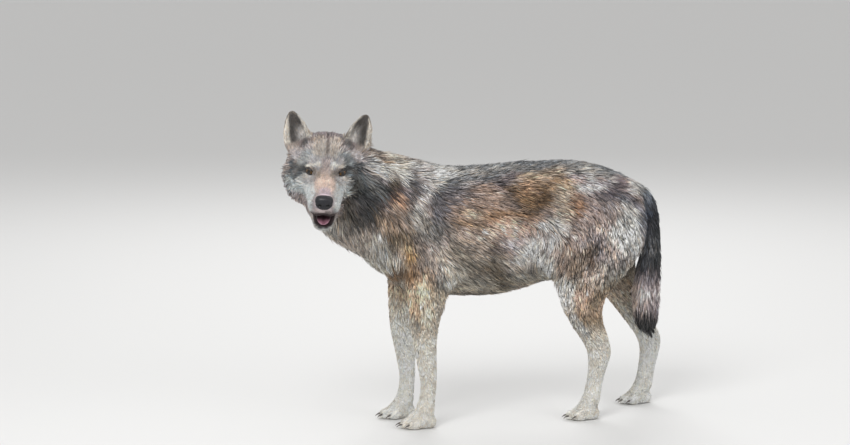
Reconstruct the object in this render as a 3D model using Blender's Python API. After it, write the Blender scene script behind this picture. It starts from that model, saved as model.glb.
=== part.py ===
"""A life-size timber wolf, standing still with its head turned to its left and its mouth a little open.

Metres, +Z up. The wolf faces -X, its left side is at -Y, and it stands on the plane Z = 0.
The origin is on that plane, under the middle of the whole animal. Every outline is that of
the coat, out to the tips of the hair. The body is modelled whole, from lofted and rounded
forms melted together, and is then parted into its members with thin cuts.
"""

import math

import bmesh
import bpy
import numpy as np
from mathutils import Euler, Matrix, Vector

# ---------------------------------------------------------------- driving dimensions
GIRTH = 1.0  # share by which the trunk's and neck's half widths can be made fuller or slimmer
EYE_RADIUS = 0.0122
EYE_SPACING = 0.079  # between the centres of the eyeballs
EYE_SET_BACK = -0.0005  # of those centres, along the head
EYE_SPLAY = math.radians(36)  # each eye looks this far out to its own side
LID_SLANT = -14  # degrees that the slit between the lids turns, its outer corner higher
NOSE_WIDTH = 0.050
EAR_LENGTH = 0.108  # from inside the skull to the tip
EAR_RIM = 0.0022  # half thickness of the ear's edge
GAPE = math.radians(11)  # how far the lower jaw hangs open
CLAW_LENGTH = 0.015
CLAW_RADIUS = 0.0036
SOLE_SINK = 0.004  # how far the rounded forms of a paw reach below the floor, where they are cut flat
LEGS_BELOW = 0.31  # the height below which the legs are clear of the trunk

BODY_CELL = 0.006  # size of the cells in which trunk, neck, thighs and shoulders are melted together
BODY_ROUNDS = 55  # rounds of smoothing that carry the big muscles into each other
FINE_CELL = 0.0042  # the same for the whole animal, with its head, paws and tail
FINE_ROUNDS = 4
FORM_FACES = 4300  # triangles left in the whole form, before it is parted
PARTING = 0.0004  # width of the thin cuts between the members
CUTTER_GROWTH = 2 * PARTING  # how far a cutter's corners move out, its faces moving about half that
RING = 40  # points round one cross-section
STEPS = 5  # cross-sections laid between two given ones

ORIGIN_SHIFT = Vector((0.1176, 0.0895, 0.0))  # brings the middle of the whole animal over the origin

# ---------------------------------------------------------------- a clean start
for leftover in list(bpy.data.objects):
    bpy.data.objects.remove(leftover)


# ---------------------------------------------------------------- modelling helpers
def eased(rows, steps=STEPS):
    """Rows of numbers, with further rows laid between them on a smooth curve through all of them."""
    rows = np.array(rows, float)
    before = np.vstack([2 * rows[0] - rows[1], rows, 2 * rows[-1] - rows[-2]])
    out = []
    for i in range(len(rows) - 1):
        a, b, c, d = before[i : i + 4]
        for t in np.arange(steps) / steps:
            out.append(
                0.5 * (2 * b + (c - a) * t + (2 * a - 5 * b + 4 * c - d) * t**2
                       + (3 * b - a - 3 * c + d) * t**3)
            )
    out.append(rows[-1])
    return np.array(out)


def skinned(bm, rings):
    """Adds one closed shell to bm: neighbouring rings of points are joined, and both ends are closed."""
    loops = [[bm.verts.new(p) for p in ring] for ring in rings]
    for near, far in zip(loops, loops[1:]):
        for i in range(len(near)):
            j = (i + 1) % len(near)
            bm.faces.new((near[i], near[j], far[j], far[i]))
    for loop in (loops[0][::-1], loops[-1]):
        centre = bm.verts.new(sum((v.co for v in loop), Vector()) / len(loop))
        for i in range(len(loop)):
            bm.faces.new((loop[i], loop[(i + 1) % len(loop)], centre))


def squared(angle, power):
    """Cosine and sine drawn out towards a square: power 2 keeps the ellipse, more is boxier."""
    c, s = math.cos(angle), math.sin(angle)
    return (
        math.copysign(abs(c) ** (2 / power), c),
        math.copysign(abs(s) ** (2 / power), s),
    )


def upright_rings(stations, power=2.2, place=None, girth=1.0):
    """Rings for a form that runs along X. Each station is (x, top, widest level, bottom, half width)."""
    place = place or Matrix()
    rings = []
    for x, top, level, bottom, half in eased(stations):
        half *= girth
        ring = []
        for k in range(RING):
            c, s = squared(2 * math.pi * k / RING, power)
            z = level + s * (top - level if s > 0 else level - bottom)
            ring.append(place @ Vector((x, half * c, z)))
        rings.append(ring)
    return rings


def level_rings(stations, power=2.2):
    """Rings for a form that runs down. Each station is (x, y, z, half size fore and aft, half width)."""
    rings = []
    for x, y, z, fore, across in eased(stations):
        ring = []
        for k in range(RING // 2):
            c, s = squared(4 * math.pi * k / RING, power)
            ring.append(Vector((x + fore * c, y - across * s, z)))
        rings.append(ring)
    return rings


def bent_rings(stations, power=2.1):
    """Rings square to a bent path. Each station is (x, y, z, half size up, the same down, half width)."""
    rows = eased(stations)
    path = [Vector(row[:3]) for row in rows]
    rings = []
    for i, row in enumerate(rows):
        along = (path[min(i + 1, len(path) - 1)] - path[max(i - 1, 0)]).normalized()
        side = Vector((0, 0, 1)).cross(along).normalized()
        up = along.cross(side)
        ring = []
        for k in range(RING):
            c, s = squared(2 * math.pi * k / RING, power)
            across = row[5] * GIRTH * c
            ring.append(path[i] - side * across + up * s * (row[3] if s > 0 else row[4]))
        rings.append(ring)
    return rings


def ball(bm, centre, radii, turn=(0, 0, 0), place=None, fineness=3):
    """Adds a rounded form to bm: a sphere drawn out to three radii, turned by degrees and placed."""
    turned = Euler([math.radians(a) for a in turn]).to_matrix().to_4x4()
    matrix = (place or Matrix()) @ Matrix.Translation(centre) @ turned @ Matrix.Diagonal((*radii, 1))
    bmesh.ops.create_icosphere(bm, subdivisions=fineness, radius=1, matrix=matrix)


def mesh_object(name, bm, helper=False, smooth=True):
    """Turns bm into an object whose faces point out. A helper is left out of the render."""
    bmesh.ops.recalc_face_normals(bm, faces=bm.faces)
    for face in bm.faces:
        face.smooth = smooth
    mesh = bpy.data.meshes.new(name)
    bm.to_mesh(mesh)
    bm.free()
    obj = bpy.data.objects.new(name, mesh)
    bpy.context.scene.collection.objects.link(obj)
    if helper:
        obj.hide_render = True
        obj.display_type = "WIRE"
    return obj


def helper_object(name, mesh):
    """An object that others are worked out from, kept out of the render."""
    obj = bpy.data.objects.new(name, mesh)
    bpy.context.scene.collection.objects.link(obj)
    obj.hide_render = True
    obj.display_type = "WIRE"
    return obj


def baked(obj, name):
    """A new mesh with obj's modifiers worked into it."""
    bpy.context.view_layer.update()
    graph = bpy.context.evaluated_depsgraph_get()
    mesh = bpy.data.meshes.new_from_object(obj.evaluated_get(graph))
    mesh.name = name
    return mesh


def boolean(obj, other, operation):
    """Puts a live Boolean on obj."""
    modifier = obj.modifiers.new(f"{operation.lower()} {other.name}", "BOOLEAN")
    modifier.operation = operation
    modifier.object = other
    modifier.solver = "EXACT"


def grown(obj, by=PARTING):
    """A helper that copies obj with its surface moved out, so that what it cuts keeps clear of obj."""
    copy = helper_object(obj.name + "_grown", baked(obj, obj.name + "_grown"))
    swell = copy.modifiers.new("swell", "DISPLACE")
    swell.strength = by
    swell.mid_level = 0
    return copy


# ---------------------------------------------------------------- where the head is
# The head has a frame of its own: +X to the nose, +Y to the wolf's left, +Z to the crown,
# with its origin midway between the eyeballs.
EYES_AT = Vector((-0.593, -0.178, 0.728))
HEAD_TURN = math.radians(256)  # from +X round to where the nose points, seen from above
HEAD_NOD = math.radians(9)  # nose down
HEAD_LEAN = math.radians(3)  # left ear down
HEAD = (
    Matrix.Translation(EYES_AT)
    @ Matrix.Rotation(HEAD_TURN, 4, "Z")
    @ Matrix.Rotation(HEAD_NOD, 4, "Y")
    @ Matrix.Rotation(-HEAD_LEAN, 4, "X")
)

# ---------------------------------------------------------------- trunk
# x, back, widest level, belly, half width: from the root of the tail to the breast
TRUNK = (
    (0.345, 0.600, 0.570, 0.520, 0.045),
    (0.332, 0.636, 0.560, 0.480, 0.076),
    (0.290, 0.680, 0.565, 0.440, 0.103),
    (0.200, 0.714, 0.568, 0.418, 0.112),
    (0.110, 0.724, 0.555, 0.398, 0.113),
    (0.020, 0.722, 0.540, 0.368, 0.118),
    (-0.070, 0.717, 0.525, 0.346, 0.123),
    (-0.160, 0.711, 0.520, 0.347, 0.125),
    (-0.240, 0.712, 0.520, 0.356, 0.121),
    (-0.310, 0.700, 0.520, 0.366, 0.110),
    (-0.365, 0.640, 0.515, 0.388, 0.088),
    (-0.395, 0.570, 0.500, 0.430, 0.050),
)
form = bmesh.new()
skinned(form, upright_rings(TRUNK, power=2.3, girth=GIRTH))

# ---------------------------------------------------------------- neck, with its ruff
# x, y, z, half size up, half size down, half width
NECK = (
    (-0.150, 0.000, 0.540, 0.160, 0.160, 0.105),
    (-0.255, -0.002, 0.560, 0.158, 0.168, 0.116),
    (-0.350, -0.008, 0.600, 0.148, 0.168, 0.120),
    (-0.430, -0.022, 0.640, 0.132, 0.164, 0.119),
    (-0.495, -0.050, 0.670, 0.114, 0.156, 0.114),
    (-0.540, -0.090, 0.688, 0.096, 0.138, 0.103),
    (-0.556, -0.125, 0.695, 0.070, 0.100, 0.080),
)
skinned(form, bent_rings(NECK))
# front of the ruff, over the breast
ball(form, (-0.395, -0.020, 0.520), (0.075, 0.085, 0.120), (0, -28, 0))
for left in (1, -1):
    ball(form, (-0.275, -0.062 * left, 0.570), (0.090, 0.062, 0.110), (0, 24, 0))  # shoulder
# where the ruff behind the cheeks runs into the neck, and again on the inner side of the turn
ball(form, (-0.140, 0, -0.030), (0.075, 0.108, 0.084), (0, 0, 0), HEAD)
ball(form, (-0.092, 0.088, -0.052), (0.056, 0.044, 0.076), (0, 0, 0), HEAD)

# ---------------------------------------------------------------- legs
# x, y, z, half size fore and aft, half width: from inside the trunk down to the top of the paw
FORELEG = (
    (-0.262, 0.076, 0.560, 0.080, 0.040),
    (-0.272, 0.088, 0.490, 0.086, 0.044),
    (-0.280, 0.094, 0.430, 0.078, 0.044),
    (-0.289, 0.090, 0.380, 0.062, 0.041),
    (-0.297, 0.086, 0.330, 0.048, 0.036),
    (-0.300, 0.082, 0.280, 0.041, 0.032),
    (-0.298, 0.078, 0.230, 0.035, 0.029),
    (-0.291, 0.075, 0.185, 0.029, 0.026),
    (-0.286, 0.073, 0.150, 0.027, 0.027),
    (-0.284, 0.072, 0.115, 0.023, 0.024),
    (-0.289, 0.072, 0.075, 0.023, 0.025),
    (-0.297, 0.072, 0.040, 0.029, 0.031),
)
FORE_STEP = {"left": 0.0, "right": -0.022}  # where each forefoot stands, against the left one

HINDLEG = {
    "left": (
        (0.235, 0.060, 0.655, 0.080, 0.040),
        (0.236, 0.070, 0.590, 0.105, 0.050),
        (0.224, 0.080, 0.525, 0.120, 0.055),
        (0.200, 0.087, 0.460, 0.124, 0.056),
        (0.168, 0.090, 0.398, 0.100, 0.051),
        (0.150, 0.090, 0.345, 0.070, 0.044),
        (0.152, 0.089, 0.300, 0.055, 0.037),
        (0.176, 0.087, 0.250, 0.045, 0.031),
        (0.203, 0.085, 0.200, 0.038, 0.028),
        (0.203, 0.084, 0.165, 0.031, 0.025),
        (0.192, 0.083, 0.115, 0.025, 0.023),
        (0.184, 0.083, 0.070, 0.025, 0.026),
        (0.174, 0.083, 0.040, 0.029, 0.032),
    ),
    "right": (
        (0.240, 0.060, 0.655, 0.080, 0.040),
        (0.246, 0.070, 0.590, 0.098, 0.050),
        (0.254, 0.080, 0.525, 0.106, 0.054),
        (0.264, 0.087, 0.460, 0.104, 0.054),
        (0.284, 0.090, 0.398, 0.086, 0.049),
        (0.312, 0.090, 0.345, 0.062, 0.043),
        (0.341, 0.089, 0.300, 0.050, 0.036),
        (0.377, 0.087, 0.245, 0.043, 0.031),
        (0.411, 0.085, 0.192, 0.038, 0.028),
        (0.414, 0.084, 0.158, 0.031, 0.025),
        (0.405, 0.083, 0.110, 0.026, 0.023),
        (0.398, 0.083, 0.068, 0.025, 0.026),
        (0.388, 0.083, 0.040, 0.029, 0.032),
    ),
}
SIDES = {"left": -1, "right": 1}  # the sign of Y on each side
paws = {}
for side, sign in SIDES.items():
    # a leg that stands forward of the first leans towards its foot from the shoulder down
    fore = [
        (x + FORE_STEP[side] * min(1, (0.52 - z) / 0.30) if z < 0.52 else x, y * sign, z, a, b)
        for x, y, z, a, b in FORELEG
    ]
    hind = [(x, y * sign, z, a, b) for x, y, z, a, b in HINDLEG[side]]
    skinned(form, level_rings(fore))
    skinned(form, level_rings(hind))
    paws["foreleg_" + side] = (fore[-1][0] - 0.007, fore[-1][1], math.radians(4 * sign), 1.0)
    paws["hindleg_" + side] = (hind[-1][0] - 0.007, hind[-1][1], math.radians(3 * sign), 0.94)

# ---------------------------------------------------------------- the big forms, melted together
def melted(bm, name, cell, rounds, least=1.0):
    """Melts the overlapping shells in bm into one closed surface and smooths it.

    Below the elbows the smoothing fades to the share given as least, so that the legs keep their girth.
    """
    rough = mesh_object(name + "_rough", bm, helper=True)
    melt = rough.modifiers.new("melt", "REMESH")
    melt.mode = "VOXEL"
    melt.voxel_size = cell
    melt.use_smooth_shade = True
    fused = helper_object(name + "_fused", baked(rough, name + "_fused"))
    softness = fused.vertex_groups.new(name="softness")
    for v in fused.data.vertices:
        share = min(1, max(least, (v.co.z - LEGS_BELOW) / 0.12))
        softness.add([v.index], share, "REPLACE")
    soften = fused.modifiers.new("soften", "SMOOTH")
    soften.factor = 0.5
    soften.iterations = rounds
    soften.vertex_group = "softness"
    return baked(fused, name)


body = melted(form, "body", BODY_CELL, BODY_ROUNDS, least=0.1)

# ---------------------------------------------------------------- head
form = bmesh.new()
form.from_mesh(body)
# Each section is given by x, then (half width, height) at its crown, its shoulder, its widest
# point, its lower side and its underside
SKULL = (
    (-0.195, (0, 0.010), (0.046, -0.002), (0.076, -0.038), (0.052, -0.084), (0, -0.098)),
    (-0.170, (0, 0.040), (0.058, 0.020), (0.096, -0.036), (0.070, -0.102), (0, -0.118)),
    (-0.142, (0, 0.066), (0.066, 0.044), (0.108, -0.036), (0.080, -0.112), (0, -0.130)),
    (-0.112, (0, 0.081), (0.069, 0.060), (0.119, -0.038), (0.087, -0.114), (0, -0.132)),
    (-0.084, (0, 0.082), (0.064, 0.061), (0.113, -0.038), (0.081, -0.107), (0, -0.126)),
    (-0.056, (0, 0.076), (0.058, 0.056), (0.097, -0.034), (0.071, -0.094), (0, -0.112)),
    (-0.030, (0, 0.062), (0.051, 0.047), (0.083, -0.030), (0.061, -0.082), (0, -0.092)),
    (-0.010, (0, 0.044), (0.043, 0.035), (0.067, -0.030), (0.053, -0.072), (0, -0.078)),
    (0.010, (0, 0.026), (0.032, 0.019), (0.055, -0.034), (0.048, -0.066), (0, -0.070)),
    (0.036, (0, 0.013), (0.026, 0.006), (0.047, -0.040), (0.043, -0.068), (0, -0.070)),
    (0.066, (0, 0.004), (0.024, -0.003), (0.043, -0.046), (0.038, -0.074), (0, -0.075)),
    (0.096, (0, -0.004), (0.023, -0.011), (0.041, -0.052), (0.034, -0.080), (0, -0.081)),
    (0.120, (0, -0.012), (0.022, -0.018), (0.038, -0.056), (0.029, -0.084), (0, -0.083)),
    (0.137, (0, -0.021), (0.019, -0.026), (0.031, -0.057), (0.021, -0.081), (0, -0.080)),
    (0.147, (0, -0.036), (0.010, -0.039), (0.017, -0.057), (0.011, -0.073), (0, -0.073)),
)


def mirrored_rings(stations, place):
    """Rings through the given points of each section and their mirror images on the other side."""
    rows = eased([[x] + [n for point in half for n in point] for x, *half in stations])
    rings = []
    for row in rows:
        half = row[1:].reshape(-1, 2)
        loop = np.vstack([half, half[-2:0:-1] * (-1, 1)])
        loop = np.vstack([loop[-1:], loop, loop[:2]])
        ring = []
        for i in range(1, len(loop) - 2):
            a, b, c, d = loop[i - 1 : i + 3]
            for t in np.arange(STEPS) / STEPS:
                y, z = 0.5 * (2 * b + (c - a) * t + (2 * a - 5 * b + 4 * c - d) * t**2
                              + (3 * b - a - 3 * c + d) * t**3)
                ring.append(place @ Vector((row[0], y, z)))
        rings.append(ring)
    return rings


skinned(form, mirrored_rings(SKULL, HEAD))

# x, gum line, widest level, underside, half width, before the jaw drops
LOWER_JAW = (
    (-0.095, -0.040, -0.080, -0.126, 0.074),
    (-0.045, -0.046, -0.080, -0.120, 0.062),
    (0.005, -0.054, -0.080, -0.111, 0.046),
    (0.050, -0.062, -0.083, -0.105, 0.034),
    (0.085, -0.069, -0.086, -0.102, 0.029),
    (0.108, -0.073, -0.087, -0.100, 0.024),
    (0.121, -0.080, -0.088, -0.096, 0.013),
)
JAW_HINGE = Vector((-0.075, 0, -0.045))
JAW = (
    HEAD
    @ Matrix.Translation(JAW_HINGE)
    @ Matrix.Rotation(GAPE, 4, "Y")
    @ Matrix.Translation(-JAW_HINGE)
)
skinned(form, upright_rings(LOWER_JAW, power=2.3, place=JAW))

# ---------------------------------------------------------------- paws
# reach, offset and half length of each toe; negative offsets are the outer toes of a left paw
TOES = (
    (0.024, -0.0235, 0.0185),
    (0.041, -0.0085, 0.0205),
    (0.041, 0.0085, 0.0205),
    (0.024, 0.0235, 0.0185),
)
TOE_HEIGHT = 0.0155
claws = {}
for foot, (x, y, splay, size) in paws.items():
    turn = Matrix.Rotation(math.pi + splay, 4, "Z")
    place = Matrix.Translation((x, y, 0)) @ turn @ Matrix.Scale(size, 4)
    ball(form, (0.002, 0, 0.027 - SOLE_SINK), (0.038, 0.031, 0.028), (0, 8, 0), place)
    ball(form, (-0.016, 0, 0.021 - SOLE_SINK), (0.026, 0.026, 0.022), (0, 0, 0), place)
    claws[foot] = []
    for reach, offset, half in TOES:
        fan = offset * 5
        at = Vector((reach, offset, TOE_HEIGHT - SOLE_SINK))
        ball(form, at, (half, 0.0112, TOE_HEIGHT), (0, 14, math.degrees(fan)), place)
        turn = Matrix.Rotation(fan, 4, "Z")
        root = place @ (at + turn @ Vector((half - 0.008, 0, 0.0)))
        tip = place @ (at + turn @ Vector((half - 0.008 + CLAW_LENGTH, 0, -0.007)))
        claws[foot].append((root, tip))

# ---------------------------------------------------------------- tail
# x, y, z, half size fore and aft, half width
TAIL = (
    (0.300, 0.0, 0.660, 0.034, 0.040),
    (0.340, 0.0, 0.628, 0.036, 0.040),
    (0.368, 0.0, 0.585, 0.033, 0.036),
    (0.380, 0.0, 0.530, 0.029, 0.032),
    (0.383, 0.0, 0.470, 0.031, 0.032),
    (0.376, 0.0, 0.400, 0.040, 0.036),
    (0.368, 0.0, 0.335, 0.047, 0.040),
    (0.368, 0.0, 0.285, 0.044, 0.038),
    (0.374, 0.0, 0.245, 0.033, 0.030),
    (0.381, 0.0, 0.215, 0.018, 0.017),
    (0.385, 0.0, 0.200, 0.007, 0.007),
)
skinned(form, level_rings(TAIL, power=2.0))

# ---------------------------------------------------------------- the whole form, thinned out
fine = helper_object("whole_form", melted(form, "whole_form", FINE_CELL, FINE_ROUNDS))
thin = fine.modifiers.new("thin", "DECIMATE")
thin.ratio = FORM_FACES / (2 * len(fine.data.polygons))
thin.use_collapse_triangulate = True
whole = helper_object("whole", baked(fine, "whole"))

# ---------------------------------------------------------------- flat soles
bm = bmesh.new()
below = Matrix.Translation((0, 0, -0.25)) @ Matrix.Diagonal((2, 2, 0.5, 1))
bmesh.ops.create_cube(bm, size=1, matrix=below)
floor = mesh_object("floor", bm, helper=True, smooth=False)
boolean(whole, floor, "DIFFERENCE")


# ---------------------------------------------------------------- parting into members
def region(name, points, place=None):
    """A convex helper round one member: the smallest solid that holds the given points."""
    bm = bmesh.new()
    for point in points:
        bm.verts.new((place or Matrix()) @ Vector(point))
    hull = bmesh.ops.convex_hull(bm, input=bm.verts)
    inside = [e for e in hull["geom_interior"] if isinstance(e, bmesh.types.BMVert)]
    bmesh.ops.delete(bm, geom=inside, context="VERTS")
    return mesh_object(name + "_region", bm, helper=True, smooth=False)


def member(name, source, space):
    """Cuts off the part of source that lies in space. Returns it, and what is left beyond a thin gap."""
    piece = bpy.data.objects.new(name, baked(source, name))
    bpy.context.scene.collection.objects.link(piece)
    boolean(piece, space, "INTERSECT")
    rest = helper_object("rest_after_" + name, baked(source, "rest_after_" + name))
    boolean(rest, grown(space, CUTTER_GROWTH), "DIFFERENCE")
    return piece, rest


def on_both_sides(points):
    """The points given as (along, half width, height), to the left and to the right."""
    return [(x, y * side, z) for x, y, z in points for side in (1, -1)]


# the lower jaw, from the corner of the mouth forward, along the middle of the gape
JAW_SPACE = (
    (-0.020, 0.056, -0.0585), (0.170, 0.056, -0.1115),
    (-0.038, 0.056, -0.131), (0.170, 0.056, -0.162),
)
jaw_region = region("lower_jaw", on_both_sides(JAW_SPACE), HEAD)
lower_jaw, rest = member("lower_jaw", whole, jaw_region)

# the head, back to the hind edge of the ruff on each cheek
HEAD_SPACE = (
    (-0.168, -0.190, 0.090), (-0.168, -0.190, -0.090), (-0.104, 0.178, 0.070),
    (-0.104, 0.178, -0.080), (-0.145, 0.000, 0.160), (-0.156, -0.100, -0.140),
    (-0.110, 0.130, -0.138), (-0.020, 0.080, -0.136), (0.005, 0.110, 0.060),
    (0.005, 0.110, -0.080), (0.000, -0.110, -0.140), (0.000, -0.110, 0.120),
    (0.200, -0.060, -0.130), (0.200, 0.060, -0.130), (0.200, -0.060, 0.050),
    (0.200, 0.060, 0.050), (-0.080, 0.000, 0.160), (-0.117, 0.130, 0.120),
)
head, rest = member("head", rest, region("head", HEAD_SPACE, HEAD))

# the neck, back to a plane from the withers down to the breast
NECK_SPACE = (
    (-0.258, 0.3, 0.90), (-0.258, 0.3, 0.74), (-0.420, 0.3, 0.420),
    (-0.900, 0.3, 0.36), (-0.900, 0.3, 0.90),
)
neck, rest = member("neck", rest, region("neck", on_both_sides(NECK_SPACE)))

# the tail, from its root down
TAIL_SPACE = (
    (0.296, 0.042, 0.700), (0.346, 0.038, 0.585), (0.3435, 0.040, 0.500),
    (0.300, 0.047, 0.330), (0.300, 0.050, 0.150), (0.470, 0.050, 0.150),
    (0.470, 0.042, 0.700),
)
tail, rest = member("tail", rest, region("tail", on_both_sides(TAIL_SPACE)))

# each leg, up to a slanting cut through the shoulder or the hip: the outline at its outer side,
# then the edge of the cut between the legs
FORELEG_SPACE = (
    (-0.395, 0.22, 0.470), (-0.345, 0.22, 0.565), (-0.245, 0.22, 0.575),
    (-0.175, 0.22, 0.500), (-0.168, 0.22, 0.400), (-0.210, 0.22, 0.300),
    (-0.210, 0.22, -0.10), (-0.480, 0.22, -0.10), (-0.480, 0.22, 0.300),
    (-0.395, 0.012, 0.280), (-0.210, 0.012, 0.280), (-0.210, 0.012, -0.10),
    (-0.480, 0.012, -0.10), (-0.480, 0.012, 0.200),
)
HINDLEG_SPACE = (
    (0.052, 0.22, 0.400), (0.100, 0.22, 0.560), (0.165, 0.22, 0.665),
    (0.290, 0.22, 0.680), (0.385, 0.22, 0.600), (0.500, 0.22, 0.300),
    (0.500, 0.22, -0.10), (0.040, 0.22, -0.10), (0.040, 0.22, 0.300),
    (0.080, 0.012, 0.360), (0.385, 0.012, 0.400), (0.500, 0.012, 0.200),
    (0.500, 0.012, -0.10), (0.040, 0.012, -0.10),
)
legs = {}
for side, sign in SIDES.items():
    for kind, space in (("foreleg", FORELEG_SPACE), ("hindleg", HINDLEG_SPACE)):
        name = f"{kind}_{side}"
        points = [(x, y * sign, z) for x, y, z in space]
        legs[name], rest = member(name, rest, region(name, points))
trunk = bpy.data.objects.new("trunk", baked(rest, "trunk"))
bpy.context.scene.collection.objects.link(trunk)

# ---------------------------------------------------------------- claws, one with the leg they grow from
for name, leg in legs.items():
    bm = bmesh.new()
    for root, tip in claws[name]:
        along = (tip - root).normalized()
        turn = along.to_track_quat("Z", "Y").to_matrix().to_4x4()
        place = Matrix.Translation((root + tip) / 2) @ turn
        bmesh.ops.create_cone(
            bm, cap_ends=True, segments=5, radius1=CLAW_RADIUS, radius2=CLAW_RADIUS * 0.3,
            depth=(tip - root).length, matrix=place,
        )
    boolean(leg, mesh_object(name + "_claws", bm, helper=True), "UNION")

# ---------------------------------------------------------------- eyes, in sockets of the head
for side, sign in SIDES.items():
    look = (
        HEAD
        @ Matrix.Translation((EYE_SET_BACK, -sign * EYE_SPACING / 2, 0))
        @ Matrix.Rotation(-sign * EYE_SPLAY, 4, "Z")
    )
    bm = bmesh.new()
    bmesh.ops.create_uvsphere(
        bm, u_segments=12, v_segments=8, radius=EYE_RADIUS,
        matrix=look @ Matrix.Rotation(math.radians(90), 4, "Y"),
    )
    eye = mesh_object("eye_" + side, bm)
    bm = bmesh.new()
    # the slit between the lids, its outer corner a little higher than its inner one
    ball(bm, (0.0120, 0, 0), (0.0078, 0.0142, 0.0086), (sign * LID_SLANT, 0, 0), look, fineness=2)
    slit = mesh_object(f"lid_slit_{side}", bm, helper=True)
    boolean(head, slit, "DIFFERENCE")
    boolean(head, grown(eye), "DIFFERENCE")

# ---------------------------------------------------------------- nose pad, with its two nostrils
bm = bmesh.new()
ball(bm, (0.1370, 0, -0.0440), (0.0170, NOSE_WIDTH / 2, 0.0180), (0, 18, 0), HEAD, fineness=2)
nose = mesh_object("nose", bm)
bm = bmesh.new()
for side in (1, -1):
    turn = (20 * side, 0, 34 * side)
    ball(bm, (0.1500, 0.0130 * side, -0.0500), (0.0080, 0.0044, 0.0036), turn, HEAD, fineness=1)
nostrils = mesh_object("nostrils", bm, helper=True)
boolean(head, grown(nose), "DIFFERENCE")
boolean(nose, nostrils, "DIFFERENCE")

# ---------------------------------------------------------------- tongue, in the floor of the mouth
bm = bmesh.new()
ball(bm, (0.052, 0, -0.0655), (0.052, 0.0175, 0.0085), (0, 7, 0), JAW, fineness=2)
tongue = mesh_object("tongue", bm)
boolean(lower_jaw, grown(tongue), "DIFFERENCE")
boolean(head, grown(tongue), "DIFFERENCE")

# ---------------------------------------------------------------- ears: hollow cups, standing on the head
EAR_ROOT = Vector((-0.094, 0.066, 0.028))
EAR_UP = Vector((-0.25, 0.32, 0.92)).normalized()  # from the root to the tip, leaning out and back
EAR_AHEAD = Vector((1.0, 0.30, 0.0))  # which way the cup opens
# height as a share of the length, half width, depth of the back, thickness of the wall, how hollow
EAR_SECTIONS = (
    (0.00, 0.034, 0.026, 0.008, 0.0),
    (0.16, 0.038, 0.029, 0.008, 0.1),
    (0.32, 0.037, 0.027, 0.008, 0.7),
    (0.50, 0.033, 0.022, 0.007, 1.0),
    (0.68, 0.027, 0.016, 0.006, 1.0),
    (0.84, 0.018, 0.009, 0.006, 1.0),
    (0.94, 0.010, 0.005, 0.005, 1.0),
    (1.00, 0.003, 0.002, 0.003, 1.0),
)


def ear_rings(side):
    """Rings of an ear: round the back from edge to edge, then back along the inside of the cup."""
    up = EAR_UP * EAR_LENGTH
    ahead = (EAR_AHEAD - EAR_AHEAD.project(up)).normalized()
    across = up.cross(ahead).normalized()
    rings = []
    for share, half, depth, wall, hollow in eased(EAR_SECTIONS, 2):
        back, inside = [], []
        for k in range(9):
            angle = math.pi * k / 8
            c, s = math.cos(angle), math.sin(angle)
            thick = EAR_RIM + (wall / 2 - EAR_RIM) * s
            back.append((c * (half + EAR_RIM), -s * (depth + thick)))
            inner = max(half - EAR_RIM, 0.0006)
            inside.append((c * inner, -s * hollow * max(depth - thick, 0.0004)))
        outline = back + inside[::-1]
        centre = EAR_ROOT + up * share
        ring = [centre + across * u + ahead * (v + depth / 2) for u, v in outline]
        rings.append([HEAD @ Vector((p.x, p.y * side, p.z)) for p in ring])
    return rings


head_grown = grown(head)
for side, sign in SIDES.items():
    bm = bmesh.new()
    skinned(bm, ear_rings(-sign))
    ear = mesh_object("ear_" + side, bm)
    boolean(ear, head_grown, "DIFFERENCE")

# ---------------------------------------------------------------- what each member looks like
LOOKS = {  # colour, roughness
    "trunk": ((0.27, 0.22, 0.17), 0.85),
    "neck": ((0.33, 0.28, 0.22), 0.85),
    "head": ((0.38, 0.33, 0.28), 0.85),
    "lower_jaw": ((0.45, 0.42, 0.37), 0.85),
    "tongue": ((0.52, 0.22, 0.24), 0.45),
    "nose": ((0.020, 0.020, 0.024), 0.40),
    "eye": ((0.110, 0.055, 0.020), 0.10),
    "ear": ((0.24, 0.19, 0.15), 0.85),
    "foreleg": ((0.48, 0.36, 0.26), 0.85),
    "hindleg": ((0.42, 0.34, 0.27), 0.85),
    "tail": ((0.17, 0.15, 0.13), 0.85),
}
for obj in bpy.data.objects:
    obj.location = ORIGIN_SHIFT
    if obj.hide_render:
        continue
    kind = next(kind for kind in LOOKS if obj.name.startswith(kind))
    colour, roughness = LOOKS[kind]
    material = bpy.data.materials.new(obj.name)
    material.use_nodes = True
    shader = material.node_tree.nodes["Principled BSDF"]
    shader.inputs["Base Color"].default_value = (*colour, 1)
    shader.inputs["Roughness"].default_value = roughness
    shader.inputs["Metallic"].default_value = 0
    obj.data.materials.clear()
    obj.data.materials.append(material)
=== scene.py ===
import math

import bpy
import numpy as np
from mathutils import Matrix, Vector


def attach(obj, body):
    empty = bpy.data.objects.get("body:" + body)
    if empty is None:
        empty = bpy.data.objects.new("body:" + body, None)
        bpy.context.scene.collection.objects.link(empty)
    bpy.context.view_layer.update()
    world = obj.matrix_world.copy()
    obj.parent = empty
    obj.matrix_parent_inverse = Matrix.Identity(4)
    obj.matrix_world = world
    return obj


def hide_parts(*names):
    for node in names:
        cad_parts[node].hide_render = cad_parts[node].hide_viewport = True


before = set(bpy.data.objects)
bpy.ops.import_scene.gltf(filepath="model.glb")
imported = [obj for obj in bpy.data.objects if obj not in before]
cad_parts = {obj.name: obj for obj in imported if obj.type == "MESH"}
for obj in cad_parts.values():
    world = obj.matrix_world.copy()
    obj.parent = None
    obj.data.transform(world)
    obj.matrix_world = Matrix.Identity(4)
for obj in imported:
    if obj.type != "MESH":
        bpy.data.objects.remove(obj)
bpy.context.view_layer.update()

# ================================================================ studio
# A pale floor that the wolf stands on, a soft light from above and in front, and the camera,
# low and a little to the front of the wolf's left side.
CAMERA_AT = Vector((-1.9139, -6.4645, 1.5107))
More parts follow.
